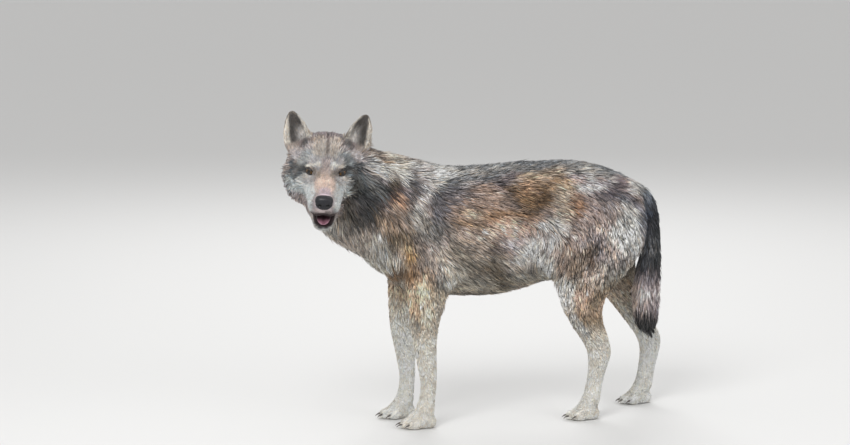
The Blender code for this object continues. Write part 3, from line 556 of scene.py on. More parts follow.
# The markings. Each mark is a line of points with a radius, how softly its edge fades (0 is a sharp
# edge), a colour, a strength, and the share of hairs there with black tips. They
# are laid one over another, the later over the earlier. Marks of the trunk are (X, Y outward from
# the middle, Z); a mark spreads two and a half times as far across the body as along it. Nearly
# all the colours, here and in the marks of the head, were set by a least-squares fit. The rows
# under "found by a fitting program" were also placed and sized by it, and the others one by one.
GROUND = (  # height, colour of the upper coat from the soles to the withers, black tips
    (0, (0.542, 0.528, 0.504), 0.02),
    (0.22, (0.381, 0.371, 0.354), 0.03),
    (0.31, (0.608, 0.495, 0.356), 0.08),
    (0.4, (0.2, 0.187, 0.167), 0.15),
    (0.5, (0.512, 0.429, 0.404), 0.22),
    (0.58, (0.331, 0.265, 0.237), 0.28),
    (0.66, (0.276, 0.239, 0.245), 0.34),
    (0.76, (0.277, 0.235, 0.207), 0.28),
)
BODY_MARKS = (
    # back and withers
    (((-0.14, 0, 0.7), (0.4, 0, 0.7)), 0.045, 0.8, (0.372, 0.363, 0.346), 0.75, 0.5),
    (((-0.14, 0, 0.72), (0.1, 0, 0.725), (0.42, 0, 0.68)), 0.014, 1, (0.202, 0.222, 0.243), 0.8, 0.6),
    (((0.1, 0.06, 0.685), (0.22, 0.06, 0.685)), 0.016, 1, (0.522, 0.383, 0.264), 0.7, 0.3),
    (((-0.155, 0.03, 0.705), (-0.09, 0.05, 0.695)), 0.02, 0.8, (0.547, 0.533, 0.509), 0.8, 0.15),
    (((-0.25, 0.04, 0.74), (-0.23, 0.07, 0.72)), 0.026, 0.8, (0.643, 0.586, 0.506), 0.75, 0.1),
    # shoulder
    (((-0.26, 0.1, 0.62), (-0.24, 0.11, 0.585)), 0.026, 0.8, (0.358, 0.27, 0.209), 0.8, 0.15),
    (((-0.15, 0.08, 0.66), (-0.14, 0.09, 0.645)), 0.016, 0.8, (0.636, 0.613, 0.591), 0.7, 0.3),
    (((-0.2, 0.09, 0.61), (-0.205, 0.11, 0.56)), 0.02, 0.8, (0.592, 0.577, 0.551), 0.7, 0.3),
    (((-0.2, 0.06, 0.685), (-0.205, 0.08, 0.655), (-0.225, 0.09, 0.635)),
     0.011, 0.9, (0.026, 0.015, 0.015), 0.85, 0.5),
    (((-0.05, 0.05, 0.69), (-0.105, 0.09, 0.66), (-0.155, 0.1, 0.62), (-0.155, 0.11, 0.575)),
     0.011, 1, (0.0572, 0.0588, 0.064), 0.85, 0.5),
    (((-0.13, 0.12, 0.575), (-0.11, 0.12, 0.54)), 0.016, 1, (0.12, 0.102, 0.077), 0.6, 0.4),
    # flank
    (((-0.085, 0.11, 0.615), (-0.03, 0.11, 0.6), (0.03, 0.11, 0.625)),
     0.026, 0.8, (0.478, 0.355, 0.287), 0.8, 0.2),
    (((-0.02, 0.1, 0.66), (0, 0.1, 0.655)), 0.016, 0.9, (0.398, 0.268, 0.192), 0.7, 0.3),
    (((0.07, 0.1, 0.65), (0.11, 0.11, 0.615), (0.165, 0.11, 0.62), (0.16, 0.1, 0.65)),
     0.017, 1, (0.242, 0.141, 0.055), 0.85, 0.35),
    (((0, 0.11, 0.58), (0.12, 0.11, 0.58)), 0.015, 0.9, (0.277, 0.161, 0.077), 0.75, 0.15),
    (((-0.04, 0.12, 0.545), (0.03, 0.12, 0.545), (0.12, 0.12, 0.545)),
     0.019, 0.9, (0.64, 0.454, 0.367), 0.85, 0.1),
    (((-0.1, 0.12, 0.5), (-0.02, 0.12, 0.505)), 0.022, 0.9, (0.335, 0.283, 0.225), 0.7, 0.25),
    (((0.02, 0.12, 0.49), (0.03, 0.12, 0.48)), 0.016, 1, (0.072, 0.046, 0.024), 0.7, 0.3),
    (((-0.08, 0.12, 0.455), (0.03, 0.12, 0.455)), 0.02, 0.9, (0.267, 0.233, 0.188), 0.75, 0.3),
    (((-0.03, 0.11, 0.425), (0.04, 0.11, 0.425)), 0.014, 0.9, (0.112, 0.0914, 0.065), 0.7, 0.3),
    (((-0.13, 0.13, 0.47), (-0.12, 0.13, 0.43)), 0.017, 0.9, (0.542, 0.482, 0.408), 0.7, 0.15),
    # groin and the front of the thigh
    (((0.07, 0.11, 0.5), (0.12, 0.1, 0.505), (0.12, 0.1, 0.465)),
     0.016, 0.9, (0.582, 0.497, 0.497), 0.85, 0.05),
    (((0.15, 0.11, 0.545), (0.2, 0.11, 0.545), (0.165, 0.11, 0.5)),
     0.017, 0.9, (0.627, 0.611, 0.583), 0.85, 0.05),
    (((0.165, 0.12, 0.45), (0.17, 0.13, 0.4), (0.205, 0.13, 0.37), (0.21, 0.13, 0.33)),
     0.0115, 0.9, (0.551, 0.532, 0.511), 0.8, 0),
    (((0.12, 0.1, 0.42), (0.13, 0.1, 0.41)), 0.01, 1, (0.0253, 0.0217, 0.0285), 0.6, 0.2),
    # rump and thigh
    (((0.2, 0.08, 0.655), (0.255, 0.08, 0.655)), 0.016, 0.8, (0.614, 0.371, 0.181), 0.8, 0.1),
    (((0.21, 0.1, 0.62), (0.215, 0.11, 0.575)), 0.014, 0.8, (0.532, 0.491, 0.427), 0.7, 0.15),
    (((0.255, 0.11, 0.62), (0.255, 0.12, 0.575)), 0.014, 0.9, (0.32, 0.172, 0.084), 0.8, 0.2),
    (((0.3, 0.11, 0.585), (0.305, 0.11, 0.575)), 0.013, 0.8, (0.426, 0.347, 0.341), 0.7, 0.1),
    (((0.345, 0.09, 0.655), (0.355, 0.09, 0.63), (0.345, 0.1, 0.59)),
     0.014, 0.9, (0.465, 0.425, 0.432), 0.75, 0.4),
    (((0.4, 0.05, 0.66), (0.41, 0.06, 0.64)), 0.015, 0.9, (0.481, 0.379, 0.37), 0.75, 0.2),
    (((0.39, 0.07, 0.61), (0.4, 0.06, 0.585)), 0.016, 0.8, (0.539, 0.526, 0.501), 0.8, 0.1),
    (((0.375, 0.08, 0.55), (0.38, 0.07, 0.51), (0.37, 0.08, 0.48)),
     0.022, 0.7, (0.643, 0.627, 0.598), 0.9, 0),
    (((0.21, 0.13, 0.505), (0.215, 0.13, 0.42)), 0.024, 0.9, (0.358, 0.27, 0.217), 0.75, 0.2),
    (((0.295, 0.13, 0.515), (0.3, 0.13, 0.45)), 0.015, 0.9, (0.339, 0.293, 0.3), 0.75, 0.3),
    # underside
    (((-0.1, 0, 0.355), (0, 0, 0.365), (0.1, 0, 0.395)), 0.02, 1.2, (0.0165, 0.0169, 0.0205), 0.7, 0.05),
    # upper arm
    (((-0.215, 0.13, 0.45), (-0.205, 0.13, 0.4), (-0.205, 0.13, 0.34)),
     0.027, 0.8, (0.581, 0.403, 0.278), 0.85, 0.06),
    (((-0.245, 0.11, 0.52), (-0.225, 0.12, 0.485)), 0.018, 0.9, (0.449, 0.304, 0.155), 0.75, 0.3),
    (((-0.235, 0.12, 0.47), (-0.24, 0.12, 0.45)), 0.012, 0.8, (0.426, 0.267, 0.116), 0.7, 0.1),
    (((-0.165, 0.13, 0.475), (-0.16, 0.13, 0.45)), 0.013, 0.8, (0.443, 0.393, 0.358), 0.7, 0.1),
    # breast
    (((-0.3, 0.02, 0.52), (-0.29, 0.03, 0.46), (-0.26, 0.02, 0.42)),
     0.04, 0.7, (0.453, 0.429, 0.387), 0.85, 0.08),
    # small patches, found by a fitting program
    # pale patch on the rump beside the tail: partly pale fur and partly a painted highlight
    (((0.419, 0.116, 0.562), (0.417, 0.123, 0.479)), 0.018, 0.8, (0.623, 0.607, 0.579), 0.85, 0.12),
    (((-0.198, 0.12, 0.536), (-0.201, 0.13, 0.455)), 0.018, 0.8, (0.214, 0.181, 0.161), 0.85, 0.3),
    (((-0.169, 0.105, 0.663), (-0.115, 0.061, 0.697)), 0.018, 0.8, (0.643, 0.627, 0.598), 0.85, 0.12),
    (((0.21, 0.122, 0.371), (0.214, 0.11, 0.318)), 0.018, 0.8, (0.643, 0.627, 0.598), 0.85, 0.12),
    (((0.25, 0.099, 0.648), (0.336, 0.1, 0.646)), 0.008, 0.8, (0.643, 0.599, 0.594), 0.85, 0.12),
    (((0.232, 0.132, 0.43), (0.281, 0.138, 0.478)), 0.018, 0.8, (0.217, 0.168, 0.129), 0.85, 0.3),
    (((0.108, 0.116, 0.482), (0.157, 0.096, 0.435)), 0.012, 0.8, (0.643, 0.627, 0.598), 0.85, 0.12),
    (((-0.026, 0.077, 0.679), (0.057, 0.083, 0.677)), 0.012, 0.8, (0.311, 0.276, 0.279), 0.85, 0.3),
    (((0.161, 0.11, 0.479), (0.212, 0.113, 0.527)), 0.012, 0.8, (0.604, 0.577, 0.562), 0.85, 0.12),
    (((-0.303, 0.141, 0.623), (-0.249, 0.124, 0.668)), 0.012, 0.8, (0.047, 0.022, 0.015), 0.85, 0.3),
    (((-0.317, 0.093, 0.495), (-0.29, 0.086, 0.469)), 0.012, 0.8, (0.643, 0.627, 0.598), 0.85, 0.12),
    (((0.342, 0.136, 0.509), (0.379, 0.129, 0.54)), 0.018, 0.8, (0.643, 0.627, 0.598), 0.85, 0.12),
    (((-0.255, 0.047, 0.412), (-0.223, 0.119, 0.422)), 0.018, 0.8, (0.211, 0.12, 0.054), 0.85, 0.3),
    (((0.103, 0.102, 0.645), (0.122, 0.094, 0.66)), 0.018, 0.8, (0.462, 0.289, 0.175), 0.85, 0.12),
    (((0.253, 0.088, 0.672), (0.333, 0.084, 0.669)), 0.012, 0.8, (0.539, 0.45, 0.457), 0.85, 0.12),
    (((0.325, 0.108, 0.622), (0.405, 0.104, 0.619)), 0.008, 0.8, (0.0963, 0.0939, 0.11), 0.85, 0.3),
    (((0.286, 0.129, 0.327), (0.34, 0.122, 0.373)), 0.018, 0.8, (0.214, 0.169, 0.115), 0.85, 0.3),
    # laid one by one
    (((-0.174, 0.122, 0.338), (-0.172, 0.116, 0.304)), 0.018, 0.8, (0.571, 0.557, 0.531), 0.8, 0.08),
    # small patches, found by a fitting program
    (((0.433, 0.074, 0.639), (0.435, 0.074, 0.639)), 0.018, 0.8, (0.57, 0.556, 0.53), 0.85, 0.12),
    (((0.392, 0.117, 0.588), (0.389, 0.126, 0.547)), 0.018, 0.8, (0.641, 0.623, 0.596), 0.85, 0.12),
    (((-0.075, 0.067, 0.688), (-0.038, 0.028, 0.707)), 0.008, 0.8, (0.643, 0.627, 0.598), 0.85, 0.12),
    (((0.091, 0.115, 0.466), (0.116, 0.116, 0.49)), 0.018, 0.8, (0.643, 0.627, 0.598), 0.85, 0.12),
    (((0.307, 0.141, 0.419), (0.309, 0.137, 0.385)), 0.012, 0.8, (0.459, 0.443, 0.406), 0.85, 0.12),
    (((0.457, 0.082, 0.564), (0.453, 0.096, 0.524)), 0.018, 0.8, (0.142, 0.158, 0.185), 0.85, 0.3),
    (((0.036, 0.097, 0.655), (0.097, 0.063, 0.699)), 0.008, 0.8, (0.185, 0.15, 0.165), 0.85, 0.3),
    (((-0.159, 0.068, 0.707), (-0.171, 0.111, 0.648)), 0.018, 0.8, (0.558, 0.5, 0.482), 0.85, 0.12),
    (((-0.267, 0.097, 0.73), (-0.273, 0.121, 0.701)), 0.008, 0.8, (0.592, 0.545, 0.475), 0.85, 0.12),
    (((-0.262, 0.107, 0.503), (-0.232, 0.12, 0.537)), 0.018, 0.8, (0.206, 0.172, 0.134), 0.85, 0.3),
    (((0.194, 0.113, 0.578), (0.229, 0.112, 0.576)), 0.012, 0.8, (0.552, 0.412, 0.359), 0.85, 0.12),
    (((-0.146, 0.112, 0.63), (-0.148, 0.121, 0.55)), 0.018, 0.8, (0.16, 0.164, 0.172), 0.85, 0.3),
    (((0.342, 0.109, 0.622), (0.396, 0.078, 0.658)), 0.012, 0.8, (0.101, 0.08, 0.088), 0.85, 0.3),
    (((0.143, 0.111, 0.612), (0.18, 0.101, 0.643)), 0.018, 0.8, (0.107, 0.064, 0.034), 0.85, 0.3),
    (((-0.113, 0.117, 0.4), (-0.07, 0.114, 0.439)), 0.018, 0.8, (0.461, 0.437, 0.391), 0.85, 0.12),
    (((-0.227, 0.101, 0.362), (-0.201, 0.129, 0.398)), 0.018, 0.8, (0.636, 0.464, 0.336), 0.85, 0.12),
    (((0.264, 0.139, 0.404), (0.299, 0.14, 0.403)), 0.018, 0.8, (0.529, 0.424, 0.372), 0.85, 0.12),
    (((0.157, 0.096, 0.435), (0.178, 0.084, 0.416)), 0.008, 0.8, (0.643, 0.627, 0.598), 0.85, 0.12),
    (((-0.191, 0.122, 0.56), (-0.157, 0.124, 0.526)), 0.018, 0.8, (0.293, 0.279, 0.258), 0.85, 0.3),
    (((0.307, 0.057, 0.7), (0.297, 0.087, 0.67)), 0.012, 0.8, (0.452, 0.441, 0.42), 0.85, 0.12),
    (((0.214, 0.101, 0.642), (0.211, 0.113, 0.56)), 0.018, 0.8, (0.545, 0.456, 0.365), 0.85, 0.12),
    (((0.281, 0.138, 0.478), (0.281, 0.141, 0.429)), 0.008, 0.8, (0.076, 0.046, 0.029), 0.85, 0.3),
    (((0.115, 0.118, 0.556), (0.15, 0.116, 0.555)), 0.008, 0.8, (0.384, 0.255, 0.193), 0.85, 0.3),
    (((0.006, 0.113, 0.436), (0.058, 0.085, 0.388)), 0.018, 0.8, (0.15, 0.122, 0.087), 0.85, 0.3),
    (((0.233, 0.106, 0.283), (0.267, 0.111, 0.249)), 0.012, 0.8, (0.42, 0.409, 0.391), 0.85, 0.12),
    (((-0.121, 0.084, 0.675), (-0.1, 0.068, 0.689)), 0.012, 0.8, (0.643, 0.627, 0.598), 0.85, 0.12),
    (((0.387, 0.133, 0.498), (0.417, 0.123, 0.471)), 0.018, 0.8, (0.626, 0.61, 0.582), 0.85, 0.12),
    (((-0.19, 0.121, 0.625), (-0.162, 0.11, 0.647)), 0.008, 0.8, (0.61, 0.562, 0.543), 0.85, 0.12),
    (((-0.04, 0.124, 0.538), (-0.006, 0.124, 0.537)), 0.018, 0.8, (0.586, 0.478, 0.414), 0.85, 0.12),
    (((-0.089, 0.121, 0.564), (-0.005, 0.122, 0.561)), 0.012, 0.8, (0.354, 0.248, 0.162), 0.85, 0.3),
    # laid one by one
    (((-0.191, 0.124, 0.385), (-0.18, 0.122, 0.345), (-0.18, 0.116, 0.3)),
     0.018, 0.9, (0.639, 0.528, 0.391), 0.65, 0.05),
    # the dark line of the saddle, down behind the shoulder, and the stripe on the shoulder
    (((-0.155, 0.113, 0.631), (-0.136, 0.105, 0.646), (-0.116, 0.094, 0.66), (-0.077, 0.075, 0.681)),
     0.0075, 0.8, (0.179, 0.18, 0.189), 0.92, 0.5),
    (((-0.077, 0.075, 0.681), (-0.058, 0.069, 0.688), (-0.008, 0.071, 0.687), (0.036, 0.067, 0.693)),
     0.0062, 0.9, (0.241, 0.244, 0.253), 0.9, 0.5),
    (((0.036, 0.067, 0.693), (0.08, 0.062, 0.699), (0.125, 0.056, 0.705), (0.171, 0.048, 0.711),
     (0.218, 0.036, 0.717)), 0.0052, 1, (0.214, 0.221, 0.233), 0.85, 0.5),
    (((-0.197, 0.075, 0.714), (-0.2, 0.096, 0.695), (-0.199, 0.111, 0.667)),
     0.0095, 0.9, (0.19, 0.187, 0.198), 0.85, 0.5),
    # small patches, found by a fitting program
    (((-0.329, 0.145, 0.601), (-0.326, 0.133, 0.567)), 0.018, 0.8, (0.015, 0.015, 0.015), 0.85, 0.3),
    (((0.395, 0.106, 0.619), (0.442, 0.101, 0.576)), 0.008, 0.8, (0.133, 0.134, 0.157), 0.85, 0.3),
    (((0.263, 0.112, 0.575), (0.309, 0.132, 0.526)), 0.008, 0.8, (0.55, 0.432, 0.395), 0.85, 0.12),
    (((0.058, 0.107, 0.631), (0.06, 0.107, 0.631)), 0.018, 0.8, (0.129, 0.101, 0.088), 0.85, 0.3),
    (((-0.242, 0.128, 0.579), (-0.208, 0.125, 0.61)), 0.008, 0.8, (0.161, 0.151, 0.143), 0.85, 0.3),
    (((-0.064, 0.119, 0.588), (-0.03, 0.119, 0.586)), 0.008, 0.8, (0.596, 0.452, 0.346), 0.85, 0.12),
    (((-0.148, 0.121, 0.591), (-0.093, 0.104, 0.636)), 0.018, 0.8, (0.237, 0.218, 0.233), 0.85, 0.3),
    (((-0.099, 0.125, 0.491), (-0.045, 0.114, 0.438)), 0.018, 0.8, (0.277, 0.241, 0.194), 0.85, 0.3),
    (((0.185, 0.114, 0.57), (0.187, 0.109, 0.486)), 0.008, 0.8, (0.643, 0.627, 0.598), 0.85, 0.12),
)
LEG_MARKS = (  # down both forelegs, both hind legs: height, outer colour, inner colour
    (
        (0.02, (0.62, 0.581, 0.52), (0.66, 0.64, 0.59)),
        (0.16, (0.66, 0.617, 0.55), (0.68, 0.66, 0.61)),
        (0.24, (0.64, 0.592, 0.52), (0.68, 0.66, 0.6)),
        (0.285, (0.313, 0.286, 0.249), (0.62, 0.58, 0.52)),
        (0.33, (0.402, 0.343, 0.284), (0.58, 0.51, 0.43)),
        (0.38, (0.643, 0.56, 0.449), (0.52, 0.45, 0.37)),
    ),
    (
        (0.02, (0.64, 0.607, 0.55), (0.68, 0.66, 0.61)),
        (0.12, (0.68, 0.648, 0.59), (0.7, 0.68, 0.63)),
        (0.22, (0.6, 0.556, 0.49), (0.68, 0.65, 0.59)),
        (0.28, (0.213, 0.155, 0.098), (0.52, 0.47, 0.41)),
        (0.33, (0.502, 0.369, 0.295), (0.4, 0.33, 0.27)),
        (0.38, (0.643, 0.404, 0.342), (0.36, 0.29, 0.24)),
    ),
)
TAIL_MARKS = (  # height, colour at its back, colour towards the legs, black tips
    (0.2, (0.0216, 0.0212, 0.024), (0.0298, 0.0295, 0.033), 0.6),
    (0.25, (0.0132, 0.0143, 0.0139), (0.0192, 0.0203, 0.0199), 0.6),
    (0.28, (0.367, 0.314, 0.323), (0.475, 0.408, 0.399), 0.4),
    (0.32, (0.602, 0.516, 0.506), (0.67, 0.584, 0.56), 0.3),
    (0.36, (0.254, 0.223, 0.237), (0.338, 0.295, 0.313), 0.4),
    (0.4, (0.0234, 0.0252, 0.0283), (0.0745, 0.079, 0.0913), 0.6),
    (0.46, (0.0625, 0.0649, 0.0684), (0.174, 0.18, 0.194), 0.5),
    (0.54, (0.0178, 0.0202, 0.0272), (0.0501, 0.056, 0.0784), 0.4),
    (0.6, (0.112, 0.126, 0.152), (0.248, 0.279, 0.345), 0.4),
    (0.66, (0.594, 0.585, 0.549), (0.692, 0.701, 0.737), 0.4),
)
# Marks of the head, in its own frame: (X, Y out from the middle, Z), then as above. A side of 1 or
# -1 keeps a mark to the wolf's left or right.
HEAD_MARKS = (
    (((-0.12, 0.03, 0.08), (-0.05, 0.03, 0.075)), 0.045, 0.8, (0.18, 0.145, 0.15), 0.9, 0.25, 0),
    (((-0.04, 0.035, 0.062), (-0.02, 0.02, 0.052)), 0.03, 0.8, (0.374, 0.343, 0.343), 0.9, 0.22, 0),
    (((-0.02, 0.01, 0.052), (0.02, 0.006, 0.022)), 0.024, 0.8, (0.286, 0.281, 0.285), 0.85, 0.2, 0),
    (((-0.1, 0, 0.083), (-0.03, 0, 0.064), (-0.004, 0, 0.043)),
     0.0035, 1.2, (0.18, 0.139, 0.119), 0.75, 0.5, 0),
    (((-0.07, 0.028, 0.078), (-0.05, 0.04, 0.066)), 0.01, 1, (0.416, 0.362, 0.347), 0.7, 0.35, 0),
    (((-0.085, 0.05, 0.07), (-0.07, 0.056, 0.06)), 0.012, 1, (0.055, 0.0529, 0.048), 0.7, 0.3, 0),
    (((-0.01, 0.046, 0.044), (-0.032, 0.06, 0.036), (-0.045, 0.07, 0.024)),
     0.016, 0.9, (0.353, 0.369, 0.37), 0.85, 0.2, 0),
    # bridge and sides of the muzzle
    (((0.04, 0, 0.01), (0.06, 0, 0.004)), 0.022, 0.8, (0.227, 0.186, 0.154), 0.9, 0.08, 0),
    (((0.004, 0, 0.03), (0.042, 0, 0.01)), 0.012, 1.2, (0.384, 0.318, 0.304), 0.7, 0.1, 0),
    (((0.058, 0, 0.004), (0.08, 0, -0.002)), 0.011, 1.5, (0.395, 0.31, 0.263), 0.75, 0.02, 0),
    (((0.084, 0.008, -0.003), (0.108, 0.006, -0.01)), 0.017, 1.3, (0.591, 0.455, 0.387), 0.85, 0.02, 0),
    (((0.122, 0, -0.016), (0.135, 0, -0.024)), 0.012, 0.8, (0.384, 0.315, 0.343), 0.85, 0.05, 0),
    (((0.06, 0.036, -0.03), (0.11, 0.032, -0.036)), 0.016, 0.8, (0.553, 0.569, 0.562), 0.8, 0.02, 0),
    (((0.02, 0.05, -0.036), (0.06, 0.042, -0.048), (0.12, 0.034, -0.058)),
     0.015, 0.8, (0.499, 0.527, 0.528), 0.9, 0, 0),
    (((0.128, 0.022, -0.066), (0.138, 0.01, -0.076)), 0.01, 0.8, (0.015, 0.015, 0.0147), 0.7, 0.05, 0),
    # cheeks
    (((0.005, 0.055, -0.03), (-0.03, 0.074, -0.045), (-0.055, 0.088, -0.055)),
     0.022, 0.8, (0.62, 0.635, 0.622), 0.85, 0.03, 0),
    (((-0.015, 0.052, -0.06), (0.01, 0.046, -0.07)), 0.018, 0.8, (0.465, 0.481, 0.473), 0.85, 0.02, 0),
    (((-0.045, 0.09, -0.055), (-0.08, 0.108, -0.066)), 0.026, 0.8, (0.413, 0.448, 0.456), 0.7, 0.1, 0),
    # on the wolf's left only: the cheek painted near black, as painted shade
    (((-0.02, 0.068, -0.045), (-0.05, 0.09, -0.06)), 0.02, 0.8, (0.015, 0.015, 0.0147), 0.8, 0.2, 1),
    (((-0.004, 0.061, -0.018), (0.002, 0.058, -0.03)), 0.006, 1, (0.173, 0.181, 0.18), 0.6, 0.2, 0),
    # behind the cheeks: a pale band, and the dark ruff below it, painted darker on the wolf's left, down to
    # the throat, as painted shade
    (((-0.06, 0.08, 0.034), (-0.082, 0.096, 0.02), (-0.09, 0.108, 0.006)),
     0.016, 0.8, (0.506, 0.465, 0.472), 0.8, 0.1, 0),
    (((-0.09, 0.138, 0.002), (-0.086, 0.15, -0.018), (-0.096, 0.16, -0.01)),
     0.018, 0.9, (0.643, 0.643, 0.629), 0.75, 0.06, 1),
    (((-0.055, 0.12, -0.05), (-0.055, 0.138, -0.066), (-0.066, 0.155, -0.075)),
     0.022, 0.9, (0.106, 0.114, 0.115), 0.9, 0.3, 1),
    (((-0.05, 0.11, -0.085), (-0.048, 0.125, -0.11), (-0.048, 0.12, -0.145)),
     0.022, 0.9, (0.021, 0.0283, 0.0322), 0.85, 0.3, 1),
    (((-0.03, 0.085, -0.12), (-0.034, 0.09, -0.165)), 0.02, 0.9, (0.015, 0.0169, 0.0178), 0.8, 0.3, 1),
    (((-0.036, 0.075, -0.075), (-0.03, 0.06, -0.105), (-0.032, 0.06, -0.14)),
     0.022, 0.9, (0.117, 0.105, 0.088), 0.85, 0.2, 1),
    (((-0.08, 0.16, -0.15), (-0.08, 0.18, -0.18)), 0.024, 0.9, (0.348, 0.258, 0.183), 0.8, 0.2, 1),
    # jaw and chin
    (((0.085, 0, -0.136), (0, 0, -0.132)), 0.036, 0.5, (0.355, 0.362, 0.353), 0.8, 0.05, 0),
    (((-0.06, 0.01, -0.19), (-0.07, 0, -0.22)), 0.03, 0.8, (0.42, 0.408, 0.38), 0.8, 0.1, 0),
    (((-0.018, 0.046, 0.038), (-0.03, 0.062, 0.03), (-0.057, 0.086, 0.007)),
     0.012, 0.9, (0.119, 0.133, 0.142), 0.75, 0.3, 1),
    # small patches, found by a fitting program
    (((0.088, 0.009, -0.104), (0.107, 0.008, -0.115)), 0.011, 0.8, (0.036, 0.0449, 0.0497), 0.85, 0.05, 0),
    (((-0.037, 0.087, -0.03), (-0.021, 0.071, -0.008)), 0.007, 0.8, (0.015, 0.0198, 0.0233), 0.85, 0.05, 0),
    (((-0.117, 0.242, -0.061), (-0.102, 0.244, -0.09)), 0.011, 0.8, (0.051, 0.05, 0.0496), 0.85, 0.05, 0),
    (((-0.109, 0.218, -0.052), (-0.129, 0.233, -0.04)), 0.011, 0.8, (0.643, 0.643, 0.624), 0.85, 0.05, 0),
    (((0.009, 0.048, -0.01), (0.016, 0.049, -0.024)), 0.011, 0.8, (0.346, 0.348, 0.343), 0.85, 0.05, 0),
    (((0.018, 0.031, 0.014), (0.031, 0.031, 0.001)), 0.007, 0.8, (0.136, 0.115, 0.098), 0.85, 0.05, 0),
    (((-0.187, 0.241, -0.014), (-0.178, 0.249, -0.019)), 0.011, 0.8, (0.643, 0.643, 0.629), 0.85, 0.05, 0),
    (((-0.113, 0.175, -0.013), (-0.089, 0.177, -0.04)), 0.007, 0.8, (0.643, 0.643, 0.624), 0.85, 0.05, 0),
    (((-0.031, 0.07, 0.013), (-0.048, 0.087, -0.007)), 0.007, 0.8, (0.349, 0.364, 0.363), 0.85, 0.05, 0),
    (((-0.075, 0.097, 0), (-0.055, 0.095, -0.027)), 0.011, 0.8, (0.038, 0.0563, 0.0673), 0.85, 0.05, 0),
    (((-0.086, 0.212, -0.096), (-0.082, 0.212, -0.111)), 0.011, 0.8, (0.541, 0.345, 0.243), 0.85, 0.05, 0),
    (((-0.083, 0.186, -0.062), (-0.099, 0.201, -0.05)), 0.011, 0.8, (0.105, 0.085, 0.061), 0.85, 0.05, 0),
    (((-0.077, 0.193, -0.212), (-0.077, 0.209, -0.194)), 0.011, 0.8, (0.09, 0.0658, 0.038), 0.85, 0.05, 0),
    (((-0.016, 0.069, -0.056), (0.001, 0.052, -0.067)), 0.011, 0.8, (0.396, 0.419, 0.42), 0.85, 0.05, 0),
    (((-0.031, 0.07, 0.013), (-0.048, 0.087, -0.007)), 0.007, 0.8, (0.302, 0.323, 0.33), 0.85, 0.05, 0),
    (((-0.021, 0.071, -0.008), (-0.011, 0.056, 0.012)), 0.011, 0.8, (0.14, 0.159, 0.168), 0.85, 0.05, 0),
    (((0.013, 0.023, 0.023), (-0.007, 0.038, 0.035)), 0.011, 0.8, (0.383, 0.37, 0.376), 0.85, 0.05, 0),
    (((-0.125, 0.167, -0), (-0.139, 0.183, -0.003)), 0.011, 0.8, (0.407, 0.303, 0.214), 0.85, 0.05, 0),
    (((-0.111, 0.184, -0.021), (-0.141, 0.2, -0.011)), 0.011, 0.8, (0.643, 0.621, 0.578), 0.85, 0.05, 0),
    (((-0.068, 0.044, 0.071), (-0.059, 0.028, 0.074)), 0.007, 0.8, (0.117, 0.077, 0.067), 0.85, 0.05, 0),
    (((0.006, 0.054, -0.024), (0.036, 0.038, -0.014)), 0.011, 0.8, (0.41, 0.398, 0.398), 0.85, 0.05, 0),
    (((-0.016, 0.069, -0.056), (0.001, 0.052, -0.067)), 0.011, 0.8, (0.402, 0.435, 0.442), 0.85, 0.05, 0),
    # forehead, with its dark furrow
    (((-0.06, 0.022, 0.073), (-0.02, 0.02, 0.055)), 0.016, 0.9, (0.44, 0.38, 0.32), 0.6, 0.15, 0),
    (((-0.1, 0, 0.083), (-0.03, 0, 0.064), (-0.004, 0, 0.043)),
     0.0035, 1.2, (0.11, 0.09, 0.08), 0.8, 0.5, 0),
    # round the eyes: dark streaks back to the cheeks, pale brows, dark corners
    (((-0.008, 0.054, 0.003), (-0.03, 0.074, 0), (-0.054, 0.094, -0.008)),
     0.008, 0.9, (0.07, 0.07, 0.0679), 0.85, 0.3, 0),
    (((0.01, 0.051, -0.013), (-0.006, 0.06, -0.018)), 0.0065, 1, (0.4, 0.37, 0.34), 0.8, 0.05, 0),
    (((0.034, 0.023, -0.001), (0.022, 0.028, -0.002)), 0.004, 0.9, (0.07, 0.055, 0.045), 0.9, 0.1, 0),
    (((0.013, 0.032, 0.001), (0.002, 0.046, 0.003), (-0.004, 0.053, 0.003)),
     0.0074, 0.5, (0.05, 0.042, 0.038), 0.95, 0.1, 0),
    (((0.04, 0.021, 0.004), (0.058, 0.017, 0.005)), 0.005, 1.2, (0.17, 0.14, 0.11), 0.6, 0.05, 0),
    (((-0.0095, 0.056, 0.0115), (0.003, 0.0425, 0.017), (0.01, 0.031, 0.021)),
     0.0034, 0.9, (0.66, 0.62, 0.56), 0.95, 0, 0),
    (((0.0085, 0.0235, 0.0265), (0.012, 0.021, 0.0235)), 0.005, 0.9, (0.67, 0.63, 0.57), 0.95, 0, 0),
    (((0.014, 0.021, 0.0215), (0.0245, 0.017, 0.0165)), 0.0034, 0.9, (0.66, 0.6, 0.52), 0.85, 0, 1),
    # the edge of the nose
    (((0.127, 0, -0.024), (0.129, 0.014, -0.028), (0.13, 0.0235, -0.04), (0.13, 0.022, -0.053),
     (0.132, 0.01, -0.063), (0.133, 0, -0.066)), 0.0028, 0.8, (0.12, 0.11, 0.11), 0.85, 0, 0),
    # lips
    (((0.137, 0.018, -0.082), (0.12, 0.03, -0.0855), (0.096, 0.035, -0.0815), (0.066, 0.039, -0.0755),
     (0.036, 0.044, -0.0695), (0.002, 0.051, -0.0665)), 0.0045, 0.6, (0.03, 0.028, 0.028), 0.95, 0, 0),
    (((0.119, 0, -0.122), (0.113, 0.013, -0.119), (0.1, 0.023, -0.113), (0.078, 0.03, -0.106),
     (0.045, 0.036, -0.095), (0.002, 0.047, -0.078)), 0.0065, 0.6, (0.03, 0.027, 0.0278), 0.95, 0, 0),
)
BELLY = (0.40, 0.37, 0.31)
EAR_BACK, EAR_RIM = (0.34, 0.29, 0.24), (0.54, 0.50, 0.45)
EAR_CUP, EAR_CUP_HAIR = (0.06, 0.054, 0.05), (0.33, 0.315, 0.30)  # deep in it, and added by its hair
